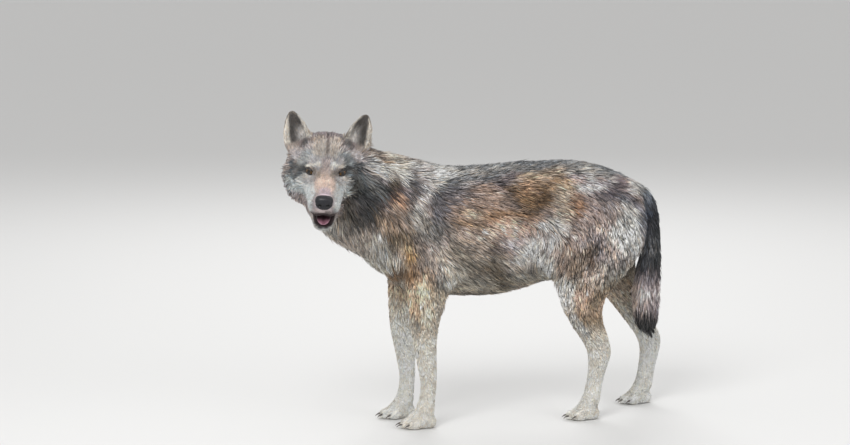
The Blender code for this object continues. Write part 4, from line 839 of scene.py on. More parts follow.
EAR_HALF_WIDTH = ((0.2, 0.5, 0.8, 1.0), (0.030, 0.029, 0.020, 0.008))  # by share of its length
# the inside of the mouth: near black, partly its own colour and partly painted shade
MOUTH = (0.026, 0.013, 0.014)
SELF_SHADE = 1.4
EAR_UP = np.array((-0.25, 0.32, 0.92)) / np.linalg.norm((-0.25, 0.32, 0.92))
EAR_ROOT = np.array((-0.094, 0.066, 0.028))  # the middle of its root
EAR_LENGTH = 0.108


def smooth_step(values, low, high):
    """0 below low, 1 above high, and an even curve between them."""
    t = np.clip((values - low) / (high - low), 0, 1)
    return t * t * (3 - 2 * t)


def nearness(seen, line, radius, fade):
    """1 near a line of points, falling to 0 from radius times (1 - 0.4 fade) to (1 + 0.8 fade)."""
    return 1 - smooth_step(away_from(seen, line), radius * (1 - fade * 0.4), radius * (1 + fade * 0.8))


def banded(rows, column, heights):
    """The colours in one column of rows, read off by height."""
    levels = [row[0] for row in rows]
    channels = zip(*(row[column] for row in rows))
    return np.stack([np.interp(heights, levels, channel) for channel in channels], 1)


def painted(points, normals):
    """The colour of the coat at each point, and the share of hairs there with black tips: the ground
    colour by height, then legs and tail by height, then each mark over what is under it."""
    z = points[:, 2]
    # an uneven edge, so that no mark ends in a ruled line
    wave = np.stack([
        np.sin(points @ (61, 37, 23) + 1.3) + np.sin(points @ (-43, 29, 71) + 0.4),
        np.sin(points @ (31, -67, 41) + 2.1) + np.sin(points @ (79, 17, -47) + 5.0),
        np.sin(points @ (-53, 59, 31) + 3.7) + np.sin(points @ (23, 47, 83) + 0.9),
    ], 1)
    colour = banded(GROUND, 1, z)
    black = np.interp(z, [row[0] for row in GROUND], [row[2] for row in GROUND])
    under = smooth_step(-normals[:, 2], 0.1, 0.8) * smooth_step(z, 0.30, 0.36) * (z < 0.6)
    colour += (np.array(BELLY) - colour) * (0.5 * under)[:, None]

    outward = np.where(points[:, 1] < MIDLINE, -1, 1) * normals[:, 1]
    inner = smooth_step(-outward, -0.1, 0.6)[:, None]
    for hind, rows in enumerate(LEG_MARKS):
        x_from = 0.10 if hind else -0.10
        on_leg = (points[:, 0] > x_from) if hind else (points[:, 0] < x_from)
        share = on_leg * (1 - smooth_step(z, 0.33, 0.39)) * 0.9
        leg = banded(rows, 1, z) * (1 - inner) + banded(rows, 2, z) * inner
        colour += (leg - colour) * share[:, None]
        black += (0.03 - black) * share

    spread = points + wave * 0.0035
    seen = np.stack([spread[:, 0], np.abs(spread[:, 1] - MIDLINE), spread[:, 2]], 1) * (1, 0.4, 1)
    for line, radius, fade, tint, strength, tips in BODY_MARKS:
        share = nearness(seen, np.array(line) * (1, 0.4, 1), radius, fade) * strength
        colour += (np.array(tint) - colour) * share[:, None]
        black += (tips - black) * share

    on_tail = combed(points)[2] == PIECES.index("tail")
    back = smooth_step(normals[:, 0], -0.5, 0.4)[:, None]
    tail = banded(TAIL_MARKS, 1, z) * back + banded(TAIL_MARKS, 2, z) * (1 - back)
    share = on_tail * smooth_step(points[:, 0], 0.43, 0.465)
    colour += (tail - colour) * share[:, None]
    black += (np.interp(z, [r[0] for r in TAIL_MARKS], [r[3] for r in TAIL_MARKS]) - black) * share

    own = to_head(points)
    side = np.where(own[:, 1] < 0, -1, 1)
    seen = own + wave * 0.0013
    seen[:, 1] = np.abs(seen[:, 1])
    near = np.linalg.norm(own, axis=1) < 0.32
    for line, radius, fade, tint, strength, tips, only in HEAD_MARKS:
        share = nearness(seen, line, radius, fade) * strength * near * ((side == only) if only else 1)
        colour += (np.array(tint) - colour) * share[:, None]
        black += (tips - black) * share

    # ears: grey outside, pale at the rim, dark within with paler hair low and in front
    up = (seen - EAR_ROOT) @ EAR_UP / EAR_LENGTH
    on_ear = (combed(points)[2] == PIECES.index("ears")) * smooth_step(up, 0.22, 0.34)
    facing = normals @ HEAD_TURN[:, 0]
    inside = smooth_step(facing, -0.1, 0.35)
    outer = np.array(EAR_BACK) * (1 - 0.5 * smooth_step(up, 0.6, 1.0))[:, None]
    middle = EAR_ROOT + (EAR_UP * EAR_LENGTH) * np.clip(up, 0, 1)[:, None]
    across = np.abs(seen[:, 1] - middle[:, 1]) / np.interp(up, *EAR_HALF_WIDTH)
    rim = smooth_step(across, 0.62, 0.92)[:, None]
    front_hair = (1 - smooth_step(up, 0.45, 0.75)) * smooth_step(middle[:, 1] - seen[:, 1], -0.012, 0.012)
    cup = np.array(EAR_CUP) + np.array(EAR_CUP_HAIR) * front_hair[:, None]
    cup = cup * (1 - rim) + np.array(EAR_RIM) * rim
    ear = cup * inside[:, None] + outer * (1 - inside[:, None])
    colour += (ear - colour) * on_ear[:, None]
    black += (0.35 - black) * on_ear

    # inside the mouth, painted near black: partly its own dark colour and partly painted shade
    x, y, z = own[:, 0], np.abs(own[:, 1]), own[:, 2]
    toward_crown = normals @ HEAD_TURN[:, 2]
    palate = (z > -0.092) * (z < -0.055) * (y < 0.036) * (x > -0.01)
    palate = smooth_step(-toward_crown, 0.25, 0.5) * palate
    gum_line = -0.058 - 0.52 * x
    jaw = (z < -0.045) * (np.abs(z - gum_line) < 0.016) * (x > -0.02)
    jaw = smooth_step(toward_crown, 0.25, 0.5) * jaw
    mouth = np.clip(palate + jaw, 0, 1) * (x < 0.15) * (y < 0.05) * near
    colour += (np.array(MOUTH) - colour) * mouth[:, None]
    # a coat shades itself, so its hairs are lighter than it looks; and no patch is quite even
    patchy = 0.10 * np.sin(points @ (113, 57, -91) + wave[:, 0])
    mottle = 1 + patchy * np.sin(points @ (-71, 103, 67) + wave[:, 1])
    colour = colour * (1 + (SELF_SHADE - 1) * (1 - mouth))[:, None] * mottle[:, None]
    return np.clip(colour, 0.008, 0.92), np.clip(black * (1 - mouth), 0, 1), mouth


# the skin falls away behind the open almond of each eye, and keeps under the edge of the lids
LID_COVER = (0.0050, 0.0042)  # how far the lids reach past the almond, along and across it
slit = to_eye(points)
open_eye = np.hypot(slit[:, 0] / (ALMOND[0] * 1.05), slit[:, 1] / (ALMOND[1] * 1.1))
lid_ring = np.hypot(slit[:, 0] / (ALMOND[0] + LID_COVER[0]), slit[:, 1] / (ALMOND[1] + LID_COVER[1]))
by_eye = (slit[:, 2] > 0) & (np.linalg.norm(slit, axis=1) < 0.027)
lid_height = np.sqrt(np.clip(EYE_RADIUS**2 - slit[:, 0] ** 2 - slit[:, 1] ** 2, 0.0030**2, None))
over_lid = np.clip(slit[:, 2] - lid_height, 0, None) * (1 - smooth_step(lid_ring, 0.85, 1.35))
inward = np.where(open_eye < 1.0, np.clip(slit[:, 2] - 0.0075, 0, None), over_lid) * by_eye
own = to_head(points)
toward = EYE_AXES[2] * np.where(own[:, 1:2] < 0, (1, -1, 1), (1, 1, 1))
points = points - (toward * inward[:, None]) @ HEAD_TURN.T
points[:, 2] = np.maximum(points[:, 2], 0.0005)
surface[:, 2] = np.maximum(surface[:, 2], 0.0)
normals = normals_of(points, faces)
skin_colour, _, skin_mouth = painted(surface, normals)


def coloured(piece, colours):
    """Stores colours, one for each point of the piece, as the attribute coat_colour."""
    layer = piece.data.color_attributes.new("coat_colour", "FLOAT_COLOR", "POINT")
    with_alpha = np.hstack([colours, np.ones((len(colours), 1))])
    layer.data.foreach_set("color", with_alpha.astype(np.float32).ravel())


# fur grain, the fine streaks and specks that skin and coat share, in each with its own values
grain = bpy.data.node_groups.new("fur grain", "ShaderNodeTree")
grain.interface.new_socket("Colour", in_out="INPUT", socket_type="NodeSocketColor")
for name, value in (("Scale", 600.0), ("Contrast", 0.3), ("Roughness", 0.6)):
    grain.interface.new_socket(name, in_out="INPUT", socket_type="NodeSocketFloat").default_value = value
grain.interface.new_socket("Colour", in_out="OUTPUT", socket_type="NodeSocketColor")
for name in ("Roughness", "Height"):
    grain.interface.new_socket(name, in_out="OUTPUT", socket_type="NodeSocketFloat")
made = grain.nodes.new
given, handed = made("NodeGroupInput"), made("NodeGroupOutput")
place, specks, drift = made("ShaderNodeTexCoord"), made("ShaderNodeTexNoise"), made("ShaderNodeTexNoise")
specks.inputs["Detail"].default_value = 4.0
drift.inputs["Scale"].default_value = 38.0
drift.inputs["Detail"].default_value = 3.0
both, centred, scaled, lifted = (made("ShaderNodeMath") for _ in range(4))
both.operation, centred.operation, scaled.operation, lifted.operation = "ADD", "SUBTRACT", "MULTIPLY", "ADD"
centred.inputs[1].default_value = 1.0
lifted.inputs[1].default_value = 1.0
shade, rough_value = made("ShaderNodeVectorMath"), made("ShaderNodeMath")
shade.operation, rough_value.operation = "SCALE", "MULTIPLY_ADD"
rough_value.inputs[1].default_value = 0.25
join = grain.links.new
join(place.outputs["Object"], specks.inputs["Vector"])
join(place.outputs["Object"], drift.inputs["Vector"])
join(given.outputs["Scale"], specks.inputs["Scale"])
join(specks.outputs["Fac"], both.inputs[0])
join(drift.outputs["Fac"], both.inputs[1])
join(both.outputs[0], centred.inputs[0])
join(centred.outputs[0], scaled.inputs[0])
join(given.outputs["Contrast"], scaled.inputs[1])
join(scaled.outputs[0], lifted.inputs[0])
join(given.outputs["Colour"], shade.inputs[0])
join(lifted.outputs[0], shade.inputs["Scale"])
join(specks.outputs["Fac"], rough_value.inputs[0])
join(given.outputs["Roughness"], rough_value.inputs[2])
join(shade.outputs["Vector"], handed.inputs["Colour"])
join(rough_value.outputs[0], handed.inputs["Roughness"])
join(specks.outputs["Fac"], handed.inputs["Height"])


def fur_material(name, scale, contrast, roughness, bump, sheen):
    """The attribute coat_colour through the fur grain, with the grain's height as a fine bump."""
    material, nodes, links, shader = plain_material(name, (0.3, 0.25, 0.2), roughness)
    stored = nodes.new("ShaderNodeAttribute")
    stored.attribute_name = "coat_colour"
    group = nodes.new("ShaderNodeGroup")
    group.node_tree = grain
    group.inputs["Scale"].default_value = scale
    group.inputs["Contrast"].default_value = contrast
    group.inputs["Roughness"].default_value = roughness - 0.12
    relief = nodes.new("ShaderNodeBump")
    relief.inputs["Strength"].default_value = bump
    relief.inputs["Distance"].default_value = 0.001
    links.new(stored.outputs["Color"], group.inputs["Colour"])
    links.new(group.outputs["Colour"], shader.inputs["Base Color"])
    links.new(group.outputs["Roughness"], shader.inputs["Roughness"])
    links.new(group.outputs["Height"], relief.inputs["Height"])
    links.new(relief.outputs["Normal"], shader.inputs["Normal"])
    shader.inputs["Specular IOR Level"].default_value = 0.3
    shader.inputs["Sheen Weight"].default_value = sheen
    shader.inputs["Sheen Roughness"].default_value = 0.5
    return material


skin = mesh_piece("skin", points, faces)
coloured(skin, skin_colour * (0.55 + 0.45 * np.clip(1 - coat_sizes[:, :1] / 0.008, 0, 1)))
skin.data.materials.append(fur_material("hide", 900.0, 0.5, 0.7, 0.5, 0.0))
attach(skin, "root")
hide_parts(*FLESH)

# ================================================================ coat
# Guard hair over the skin, in closed tapering locks with a ridge along them. A lock starts on the
# skin, rises to the tips of the coat and lies along the body, following its curves; neighbours
# draw together towards their tips. Each lock keeps a small patch of the map OFBake at its root.
STAGES = 3  # stages of a long lock from root to tip
MOST_FACES = 186000  # of one piece
PATCH = 0.003


def landed(points, target):
    """The nearest places on the target's surface, found by Shrinkwrap, and its normals there."""
    mesh = bpy.data.meshes.new("landing")
    mesh.vertices.add(len(points))
    mesh.vertices.foreach_set("co", points.astype(np.float32).ravel())
    helper = bpy.data.objects.new("landing", mesh)
    bpy.context.scene.collection.objects.link(helper)
    wrap = helper.modifiers.new("wrap", "SHRINKWRAP")
    wrap.target = target
    wrap.wrap_method = "NEAREST_SURFACEPOINT"
    wrap.wrap_mode = "ABOVE_SURFACE"
    found = []
    for offset in (0.0, 0.001):
        wrap.offset = offset
        bpy.context.view_layer.update()
        shown = helper.evaluated_get(bpy.context.evaluated_depsgraph_get())
        co = np.empty(len(points) * 3, np.float32)
        shown.data.vertices.foreach_get("co", co)
        found.append(co.reshape(-1, 3).astype(float))
    bpy.data.objects.remove(helper)
    return found[0], made_unit(found[1] - found[0])


# where a lock of full length from each point of the skin passes: after each stage, out from the
# root along the lie of the coat and up by the depth of the coat there
RISE = (0.50, 0.86, 1.0)


def level_part(vectors, normals):
    """The vectors less what they have along the normals."""
    return vectors - normals * np.sum(vectors * normals, axis=1, keepdims=True)


ground, upright = points.copy(), normals
depth = coat_sizes[:, :1]
passes = []
for stage in range(STAGES):
    lie, sizes, _ = combed(ground + upright * depth, EAR_ROOT)
    lie = made_unit(level_part(lie, upright), 1e-6)
    first_lie = lie if stage == 0 else first_lie
    stride = coat_sizes[:, 1:2] / STAGES
    onward = ground + lie * stride
    fallen, new_upright = landed(onward, skin)
    drop = fallen - onward
    far = np.linalg.norm(drop, axis=1, keepdims=True)
    ground = onward + drop * np.minimum(1, 0.6 * stride / np.maximum(far, 1e-9))
    upright = new_upright
    depth = sizes[:, :1]
    passes.append(ground + upright * depth * RISE[stage] - points)
run = level_part(passes[2], normals)
straight = np.linalg.norm(run, axis=1, keepdims=True) / coat_sizes[:, 1:2]
trim = softened(0.45 + 0.55 * smooth_step(straight, 0.45, 0.85), edges, 6)
trim *= 1 - 0.6 * (by_eye * (1 - smooth_step(lid_ring, 1.0, 1.9)))[:, None]
passes = [softened(p * trim, edges, 1) for p in passes]
tip_colour, tip_black, tip_mouth = painted(points + (passes[1] + passes[2]) / 2, upright)
bare = np.maximum(skin_mouth, tip_mouth)

random = np.random.default_rng(7)
corners = points[faces]
across = np.cross(corners[:, 1] - corners[:, 0], corners[:, 2] - corners[:, 0])
areas = np.linalg.norm(across, axis=1) / 2
gap = coat_sizes[faces, 3].mean(1)
own = to_head(points)
own[:, 1] = np.abs(own[:, 1])
# no hair grows on the edge of the lids, the pad of the nose or the soles
BARE_LID = (0.0046, 0.0032)  # past the almond, along and across it
BARE_NOSE = ((0.1385, 0, -0.044), (0.0170, 0.0225, 0.0185))
bare_x, bare_y = ALMOND[0] + BARE_LID[0], ALMOND[1] + BARE_LID[1]
near_eye = by_eye & (np.hypot((slit[:, 0] + 0.0010) / bare_x, slit[:, 1] / bare_y) < 1)
near_nose = np.linalg.norm((own - BARE_NOSE[0]) / BARE_NOSE[1], axis=1) < 1.0
on_sole = smooth_step(-surface[:, 2], -0.006, -0.003)
kept = (1 - np.clip(bare + near_eye + near_nose + on_sole, 0, 1))[faces].mean(1)
share = areas / gap**2 * kept * 1.0
total = np.cumsum(share)
count = int(total[-1])
chosen = np.searchsorted(total, (np.arange(count) + random.random(count)) * total[-1] / count)
chosen = np.minimum(chosen, len(faces) - 1)
u, v = random.random(count), random.random(count)
turned = u + v > 1
u[turned], v[turned] = 1 - u[turned], 1 - v[turned]
weights = np.stack([1 - u - v, u, v], 1)


def at_roots(values):
    """Values at the skin's points, read at the roots of the locks."""
    return np.einsum("nk,nkj->nj", weights, values.reshape(len(points), -1)[faces[chosen]])


root = at_roots(points)
root_normal = at_roots(normals)
sizes = at_roots(coat_sizes)
whose = coat_piece[faces[chosen, 0]]
via = [at_roots(p) for p in passes]
tint, black = at_roots(tip_colour), at_roots(tip_black)[:, 0]

# length of each lock, some of them shorter underwool, and a small turn aside
grown = random.normal(1.0, 0.16, (count, 1)).clip(0.55, 1.35)
low = random.random((count, 1)) < 0.3
height = np.where(low, random.uniform(0.55, 0.85, (count, 1)), random.normal(1.0, 0.06, (count, 1)))
aside = made_unit(np.cross(root_normal, via[2]))
shaggy = smooth_step(sizes[:, 1:2], 0.012, 0.034)  # 0 for short hair, as on the feet, 1 for long
sway = random.normal(0, 1, (count, 1)) * (0.09 + 0.10 * shaggy) * sizes[:, 1:2]
stages = []
for k, flow in enumerate(via):
    out = np.sum(flow * root_normal, axis=1, keepdims=True) * root_normal
    t = (k + 1) / STAGES
    stages.append(root + (flow - out) * grown + out * height + aside * sway * t**1.6)
stages[2] += root_normal * (random.normal(0.0, 0.05, (count, 1)) * sizes[:, 1:2])


def unkinked(start, bend, end):
    """The end of a lock, swung back to the line from start to bend where it turns off sharply."""
    reach = np.linalg.norm(end - bend, axis=1, keepdims=True)
    first, second = made_unit(bend - start), made_unit(end - bend)
    straight = smooth_step(np.sum(first * second, axis=1, keepdims=True), 0.35, 0.80)
    mixed = second * straight + (first * 0.75 + second * 0.25) * (1 - straight)
    return bend + made_unit(mixed) * reach * (0.6 + 0.4 * straight)


# in a crease, where a lock would double back, it lies straight and short instead
legs = (stages[0] - root, stages[1] - stages[0], stages[2] - stages[1])
lengths = [np.maximum(np.linalg.norm(leg, axis=1, keepdims=True), 1e-9) for leg in legs]
turns = [
    np.sum(legs[k] * legs[k + 1], axis=1, keepdims=True) / (lengths[k] * lengths[k + 1])
    for k in range(2)
]
whole = np.linalg.norm(stages[2] - root, axis=1, keepdims=True)
outstretched = smooth_step(whole / sizes[:, 1:2], 0.25, 0.45)
bent = 1 - smooth_step(np.minimum(*turns), 0.30, 0.65) * outstretched
lie = made_unit(level_part(at_roots(first_lie), root_normal), 0.3)
SHORTENED = 0.42  # of its length
LOWERED = 0.9  # of its height
for k in range(STAGES):
    plain = root + lie * sizes[:, 1:2] * (SHORTENED * (k + 1) / STAGES)
    plain = plain + root_normal * sizes[:, :1] * (LOWERED * RISE[k])
    stages[k] += (plain - stages[k]) * bent

# neighbours drawn together: each lock leans to the mean line of its clump
CLUMP_GAPS = 3.6  # how many gaps between locks a clump is across
LEAST_CLUMP, MOST_CLUMP = 0.004, 0.022
CLUMP_GROWTH = 1.45  # from one size of clump to the next
clump_size = np.clip(sizes[:, 3] * CLUMP_GAPS, LEAST_CLUMP, MOST_CLUMP)
level = np.round(np.log(clump_size / LEAST_CLUMP) / math.log(CLUMP_GROWTH))
cell = LEAST_CLUMP * CLUMP_GROWTH**level
cells = np.floor(root / cell[:, None]).astype(np.int64)
best, clump = np.full(count, 9.0), np.zeros(count, np.int64)
for step in np.ndindex(3, 3, 3):
    # each cell has one clump, at a spot in it that is worked out from the cell's own numbers
    there = cells + step - 1
    key = (there @ (73856093, 19349663, 83492791) + level.astype(np.int64) * 7919) & 0x7FFFFFFF
    spot = np.stack([((key * m) & 0xFFFF) / 65536 for m in (1103515245, 12820163, 214013)], 1)
    away = np.linalg.norm((there + spot) * cell[:, None] - root, axis=1)
    closer = away < best
    best[closer], clump[closer] = away[closer], key[closer]
_, clump = np.unique(clump, return_inverse=True)
clump = clump.reshape(-1)
members = np.bincount(clump).astype(float)


def clump_mean(values):
    """The mean of values over each lock's clump."""
    means = [np.bincount(clump, column) / members for column in values.T]
    return np.stack(means, 1)[clump]


# where a clump takes in both sides of a thin ear, its locks are left as they lie
alike = smooth_step(np.linalg.norm(clump_mean(root_normal), axis=1, keepdims=True), 0.70, 0.92)
pull = (0.25 + 0.40 * shaggy) * random.uniform(0.6, 1.2, (count, 1)) * alike
for k, amount in ((1, 0.45), (2, 1.0)):
    stages[k] += (clump_mean(stages[k]) - stages[k]) * pull * amount
stages[2] = unkinked(np.where(shaggy > 0.5, stages[0], root), stages[1], stages[2])
stages[1] = np.where(shaggy > 0.5, unkinked(root, stages[0], stages[1]), stages[1])

clump_tone = random.normal(0, 1, clump.max() + 1)[clump][:, None]
own_tone = random.normal(0, 1, (count, 1))
tone = np.exp((0.11 + 0.09 * shaggy) * clump_tone + own_tone * (0.12 + 0.03 * shaggy))
warm = random.normal(0, 0.05, (count, 1)) * (1, 0, -1)
tint = np.clip(tint * tone * (1 + warm), 0.01, 0.88)
draw = random.random(count)
uneven = np.exp(0.9 * random.normal(0, 1, clump.max() + 1)[clump])
tipped = draw < black * (0.2 + 0.6 * shaggy[:, 0]) * uneven
light = ~tipped & (random.random(count) < 0.12 + 0.10 * shaggy[:, 0])


def box_unwrap(places, directions, members):
    """A map of the skin's own shape: each member of the body is seen along the axis that its
    surface faces most, from both ends of all three, and the views are laid out side by side in
    the unit square."""
    axis = np.abs(directions).argmax(1)
    facing = directions[np.arange(len(directions)), axis] > 0
    view = members * 6 + axis * 2 + facing
    level = np.where(axis == 0, places[:, 1], places[:, 0])
    flat = np.stack([level, np.where(axis == 2, places[:, 1], places[:, 2])], 1)
    names = np.unique(view)
    boxes = [(n, flat[view == n].min(0), flat[view == n].max(0)) for n in names]
    boxes.sort(key=lambda b: -(b[2][1] - b[1][1]))
    margin = 0.012
    area = sum((h[0] - l[0] + margin) * (h[1] - l[1] + margin) for _, l, h in boxes)
    width = math.sqrt(area) * 1.15  # a little more than a square of that area, as rows leave gaps
    x = y = tall = 0.0
    at = {}
    for n, low_corner, high_corner in boxes:
        w, h = high_corner - low_corner + margin
        if x + w > width and x > 0:
            x, y, tall = 0.0, y + tall, 0.0
        at[n] = (x + margin / 2, y + margin / 2, low_corner)
        x, tall = x + w, max(tall, h)
    side = max(width, y + tall)
    offset = np.array([(at[n][0] - at[n][2][0], at[n][1] - at[n][2][1]) for n in names])
    return (flat + offset[np.searchsorted(names, view)]) / side * (1 - 2 * PATCH) + PATCH / 2


def lock_mesh(name, pick, rings):
    """Joins the picked locks into one closed mesh each: triangles across the line of the lock, two
    low corners and a ridge, at each ring, drawn to a point at the tip."""
    line = [root[pick] - root_normal[pick] * 0.001] + [stages[k][pick] for k in rings]
    width = sizes[pick, 2] * random.uniform(0.75, 1.3, len(pick))
    across = made_unit(np.cross(root_normal[pick], line[-1] - line[0]))
    twist = random.normal(0, 0.5, (len(pick), 1))
    places, colours, offsets = [], [], []
    n = len(rings)
    base = tint[pick]
    dark_tip, pale_tip = tipped[pick][:, None], light[pick][:, None]
    for r in range(n):
        t = r / n
        over = np.cross(made_unit(line[min(r + 1, n)] - line[max(r - 1, 0)]), across)
        turn = twist * (0.4 + t)
        s = across * np.cos(turn) + over * np.sin(turn)
        o = over * np.cos(turn) - across * np.sin(turn)
        half = (width / 2 * (0.75, 1.0, 0.72)[r])[:, None]
        places += [line[r] + s * half, line[r] - s * half, line[r] + o * half * 0.9]
        # darker at the root, partly the undercoat's own colour and partly painted shade deep in the coat
        shade = base * ((0.50, 0.92, 1.06) if n == 3 else (0.80, 1.04))[r]
        if r == n - 1:
            paler = np.where(pale_tip, shade * (1.24, 1.20, 1.12), shade)
            shade = np.where(dark_tip, shade * 0.45, paler)
        # the two low corners of each ring are painted darker than its ridge: painted shade along the sides
        # of the lock
        colours += [shade * 0.82, shade * 0.82, shade]
        offsets += [(0, t), (1, t), (0.5, t + 0.12)]
    places.append(line[n])
    paler = np.where(pale_tip, base * (1.42, 1.32, 1.18), base * 0.95)
    colours.append(np.where(dark_tip, base * 0.10, paler))
    offsets.append((0.5, 1.0))
    each = 3 * n + 1
    shape = [(0, 1, 2)]
    for r in range(n - 1):
        a, b = 3 * r, 3 * r + 3
        for i, j in ((1, 0), (2, 1), (0, 2)):
            shape += [(a + i, a + j, b + j), (a + i, b + j, b + i)]
    last = 3 * (n - 1)
    shape += [(last + 1, last, 3 * n), (last + 2, last + 1, 3 * n), (last, last + 2, 3 * n)]
    shape = np.array(shape)[:, ::-1]
    places = np.stack(places, 1).reshape(-1, 3)
    places[:, 2] = np.maximum(places[:, 2], 0.0003)  # off the floor
    numbers = (shape[None] + (np.arange(len(pick)) * each)[:, None, None]).reshape(-1, 3)
    piece = mesh_piece(name, places, numbers)
    coloured(piece, np.clip(np.stack(colours, 1).reshape(-1, 3), 0.004, 0.9))
    spot = box_unwrap(root[pick], root_normal[pick], whose[pick])
    patch = (np.array(offsets) - 0.5) * PATCH * (1, 0.85)
    uv = (spot[:, None] + patch[None]).reshape(-1, 2)
    layer = piece.data.uv_layers.new(name="OFBake")
    layer.data.foreach_set("uv", uv[numbers].astype(np.float32).ravel())
    piece.data.materials.append(fur_material(name + " hair", 1400.0, 0.35, 0.62, 0.25, 0.12))
    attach(piece, "root")


LONG, SHORT = (0, 1, 2), (1, 2)  # the stages that have a ring or a tip
COATS = (  # name, whose, rings, slot
    ("coat_trunk", "trunk", LONG, "fur_trunk"), ("coat_neck", "neck", LONG, "fur_neck"),
    ("coat_head", "head", SHORT, "fur_head"), ("coat_ears", "ears", SHORT, "fur_ear"),
    ("coat_forelegs", "forelegs", SHORT, "fur_foreleg"), ("coat_hindlegs", "hindlegs", SHORT, "fur_hindleg"),
    ("coat_tail", "tail", LONG, "fur_tail"),
)
for name, member, rings, slot in COATS:
    found = np.where(whose == PIECES.index(member))[0]
    per_lock = 6 * len(rings) - 2
    parts = -(-len(found) * per_lock // MOST_FACES)
    order = found[np.argsort(root[found, 1], kind="stable")] if parts > 1 else found
    for i, pick in enumerate(np.array_split(order, parts)):
        label = name if parts == 1 else f"{name}_{i + 1}"
        lock_mesh(label, pick, rings)

# ================================================================ eyes
# Glass eyes: a ball with the clear bulge of the cornea, an amber iris with a dark ring round it
# and a round pupil, set in the sockets and looking ahead.
GAZE_OUT = math.radians(26)
PUPIL, IRIS = 0.33, 0.86  # radians from the middle of the pupil
CORNEA = 0.0008  # how far it bulges
HEAD_SIDES = {"left": 1, "right": -1}  # the sign of Y in the head's own frame


def stored_value(piece, name, values):
    """Stores a value for each point of the piece as an attribute."""
    layer = piece.data.attributes.new(name, "FLOAT", "POINT")
    layer.data.foreach_set("value", values.astype(np.float32))


material, nodes, links, shader = plain_material("eye", (0.3, 0.15, 0.04), 0.12)
ring = nodes.new("ShaderNodeAttribute")
ring.attribute_name = "from_pupil"
place = nodes.new("ShaderNodeTexCoord")
rays = nodes.new("ShaderNodeTexNoise")
rays.inputs["Scale"].default_value = 1400.0
spread = nodes.new("ShaderNodeMath")
spread.operation = "MULTIPLY_ADD"
spread.inputs[1].default_value = 0.10
offset = nodes.new("ShaderNodeMath")
offset.operation = "SUBTRACT"
offset.inputs[1].default_value = 0.05
bands = nodes.new("ShaderNodeValToRGB")
stops = (
    (0.0, (0.003, 0.003, 0.003)), (PUPIL / 3.2 + 0.005, (0.003, 0.003, 0.003)),
    (PUPIL / 3.2 + 0.02, (0.06, 0.032, 0.012)), (0.18, (0.16, 0.085, 0.026)),
    (IRIS / 3.2 - 0.03, (0.09, 0.048, 0.016)), (IRIS / 3.2, (0.012, 0.008, 0.006)),
    (IRIS / 3.2 + 0.05, (0.03, 0.02, 0.017)), (1.0, (0.06, 0.04, 0.035)),
)
for i, (at, colour) in enumerate(stops):
    stop = bands.color_ramp.elements[0] if i == 0 else bands.color_ramp.elements.new(at)
    stop.position = at
    stop.color = (*colour, 1)
bands.color_ramp.elements.remove(bands.color_ramp.elements[-1])
links.new(place.outputs["Object"], rays.inputs["Vector"])
links.new(rays.outputs["Fac"], spread.inputs[0])
links.new(ring.outputs["Fac"], spread.inputs[2])
links.new(spread.outputs[0], offset.inputs[0])
links.new(offset.outputs[0], bands.inputs["Fac"])
links.new(bands.outputs["Color"], shader.inputs["Base Color"])
shader.inputs["Specular IOR Level"].default_value = 0.1
shader.inputs["Coat Weight"].default_value = 0.8
shader.inputs["Coat Roughness"].default_value = 0.03
eye_material = material

rings, columns = 40, 48
for side, sign in HEAD_SIDES.items():
    # rings round the line of sight: radius times the sine and cosine, with a low dome added
    # over the iris for the cornea
    a = (np.linspace(0, 1, rings + 2)[1:-1] ** 1.3 * math.pi)[:, None]
    b = np.arange(columns) * 2 * math.pi / columns
    dome = EYE_RADIUS + CORNEA * np.clip(1 - (a / IRIS) ** 2, 0, None)
    x, y, z = dome * np.cos(a) + 0 * b, dome * np.sin(a) * np.cos(b), dome * np.sin(a) * np.sin(b)
    own = np.stack([x, y, z], 2).reshape(-1, 3)
    own = np.vstack([own, (EYE_RADIUS + CORNEA, 0, 0), (-EYE_RADIUS, 0, 0)])
    place_of_eye = EYE_AT * (1, sign, 1)
    eye_points = from_head(own @ level_turn(GAZE_OUT * sign) + place_of_eye)
    local = eye_points - from_head(place_of_eye[None])[0]
    shape = turned_out(local, tube_faces(rings, columns, True, True))
    eye = mesh_piece(f"eyeball_{side}", eye_points, shape)
    stored_value(eye, "from_pupil", np.concatenate([np.repeat(a[:, 0], columns), [0.0, math.pi]]) / 3.2)
    eye.data.materials.append(eye_material)
    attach(eye, "root")
    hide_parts(f"eye_{side}")

# ================================================================ eyelids
# The dark bare edge of the lids round each eye, of thin leathery skin: an almond opening that
# lies on the eyeball, rolling over a soft edge and dipping under the hair.
def texture(material, kind, output, scale):
    """The output of a texture of the given kind and scale, on Object coordinates."""
    nodes, links = material.node_tree.nodes, material.node_tree.links
    place, pattern = nodes.new("ShaderNodeTexCoord"), nodes.new(kind)
    pattern.inputs["Scale"].default_value = scale
    links.new(place.outputs["Object"], pattern.inputs["Vector"])
    return pattern.outputs[output]


def raise_by(material, height, strength, distance):
    """A bump on the material's surface, from an output that gives the height."""
    nodes, links = material.node_tree.nodes, material.node_tree.links
    relief = nodes.new("ShaderNodeBump")
    relief.inputs["Strength"].default_value = strength
    relief.inputs["Distance"].default_value = distance
    links.new(height, relief.inputs["Height"])
    links.new(relief.outputs["Normal"], nodes["Principled BSDF"].inputs["Normal"])


lid_material, *_ = plain_material("lid edge", (0.018, 0.015, 0.014), 0.42)
crease = texture(lid_material, "ShaderNodeTexNoise", "Fac", 700.0)
raise_by(lid_material, crease, 0.3, 0.0006)
columns = 72
b = np.arange(columns) * 2 * math.pi / columns
slit_x = ALMOND[0] * np.cos(b) - 0.0022 * np.clip(-np.cos(b), 0, 1) ** 8
slit_y = np.where(np.sin(b) > 0, ALMOND[1], ALMOND[2]) * np.sin(b) * np.abs(np.sin(b)) ** 0.35
slit_y = slit_y - 0.0016 * np.clip(-np.cos(b), 0, 1) ** 4
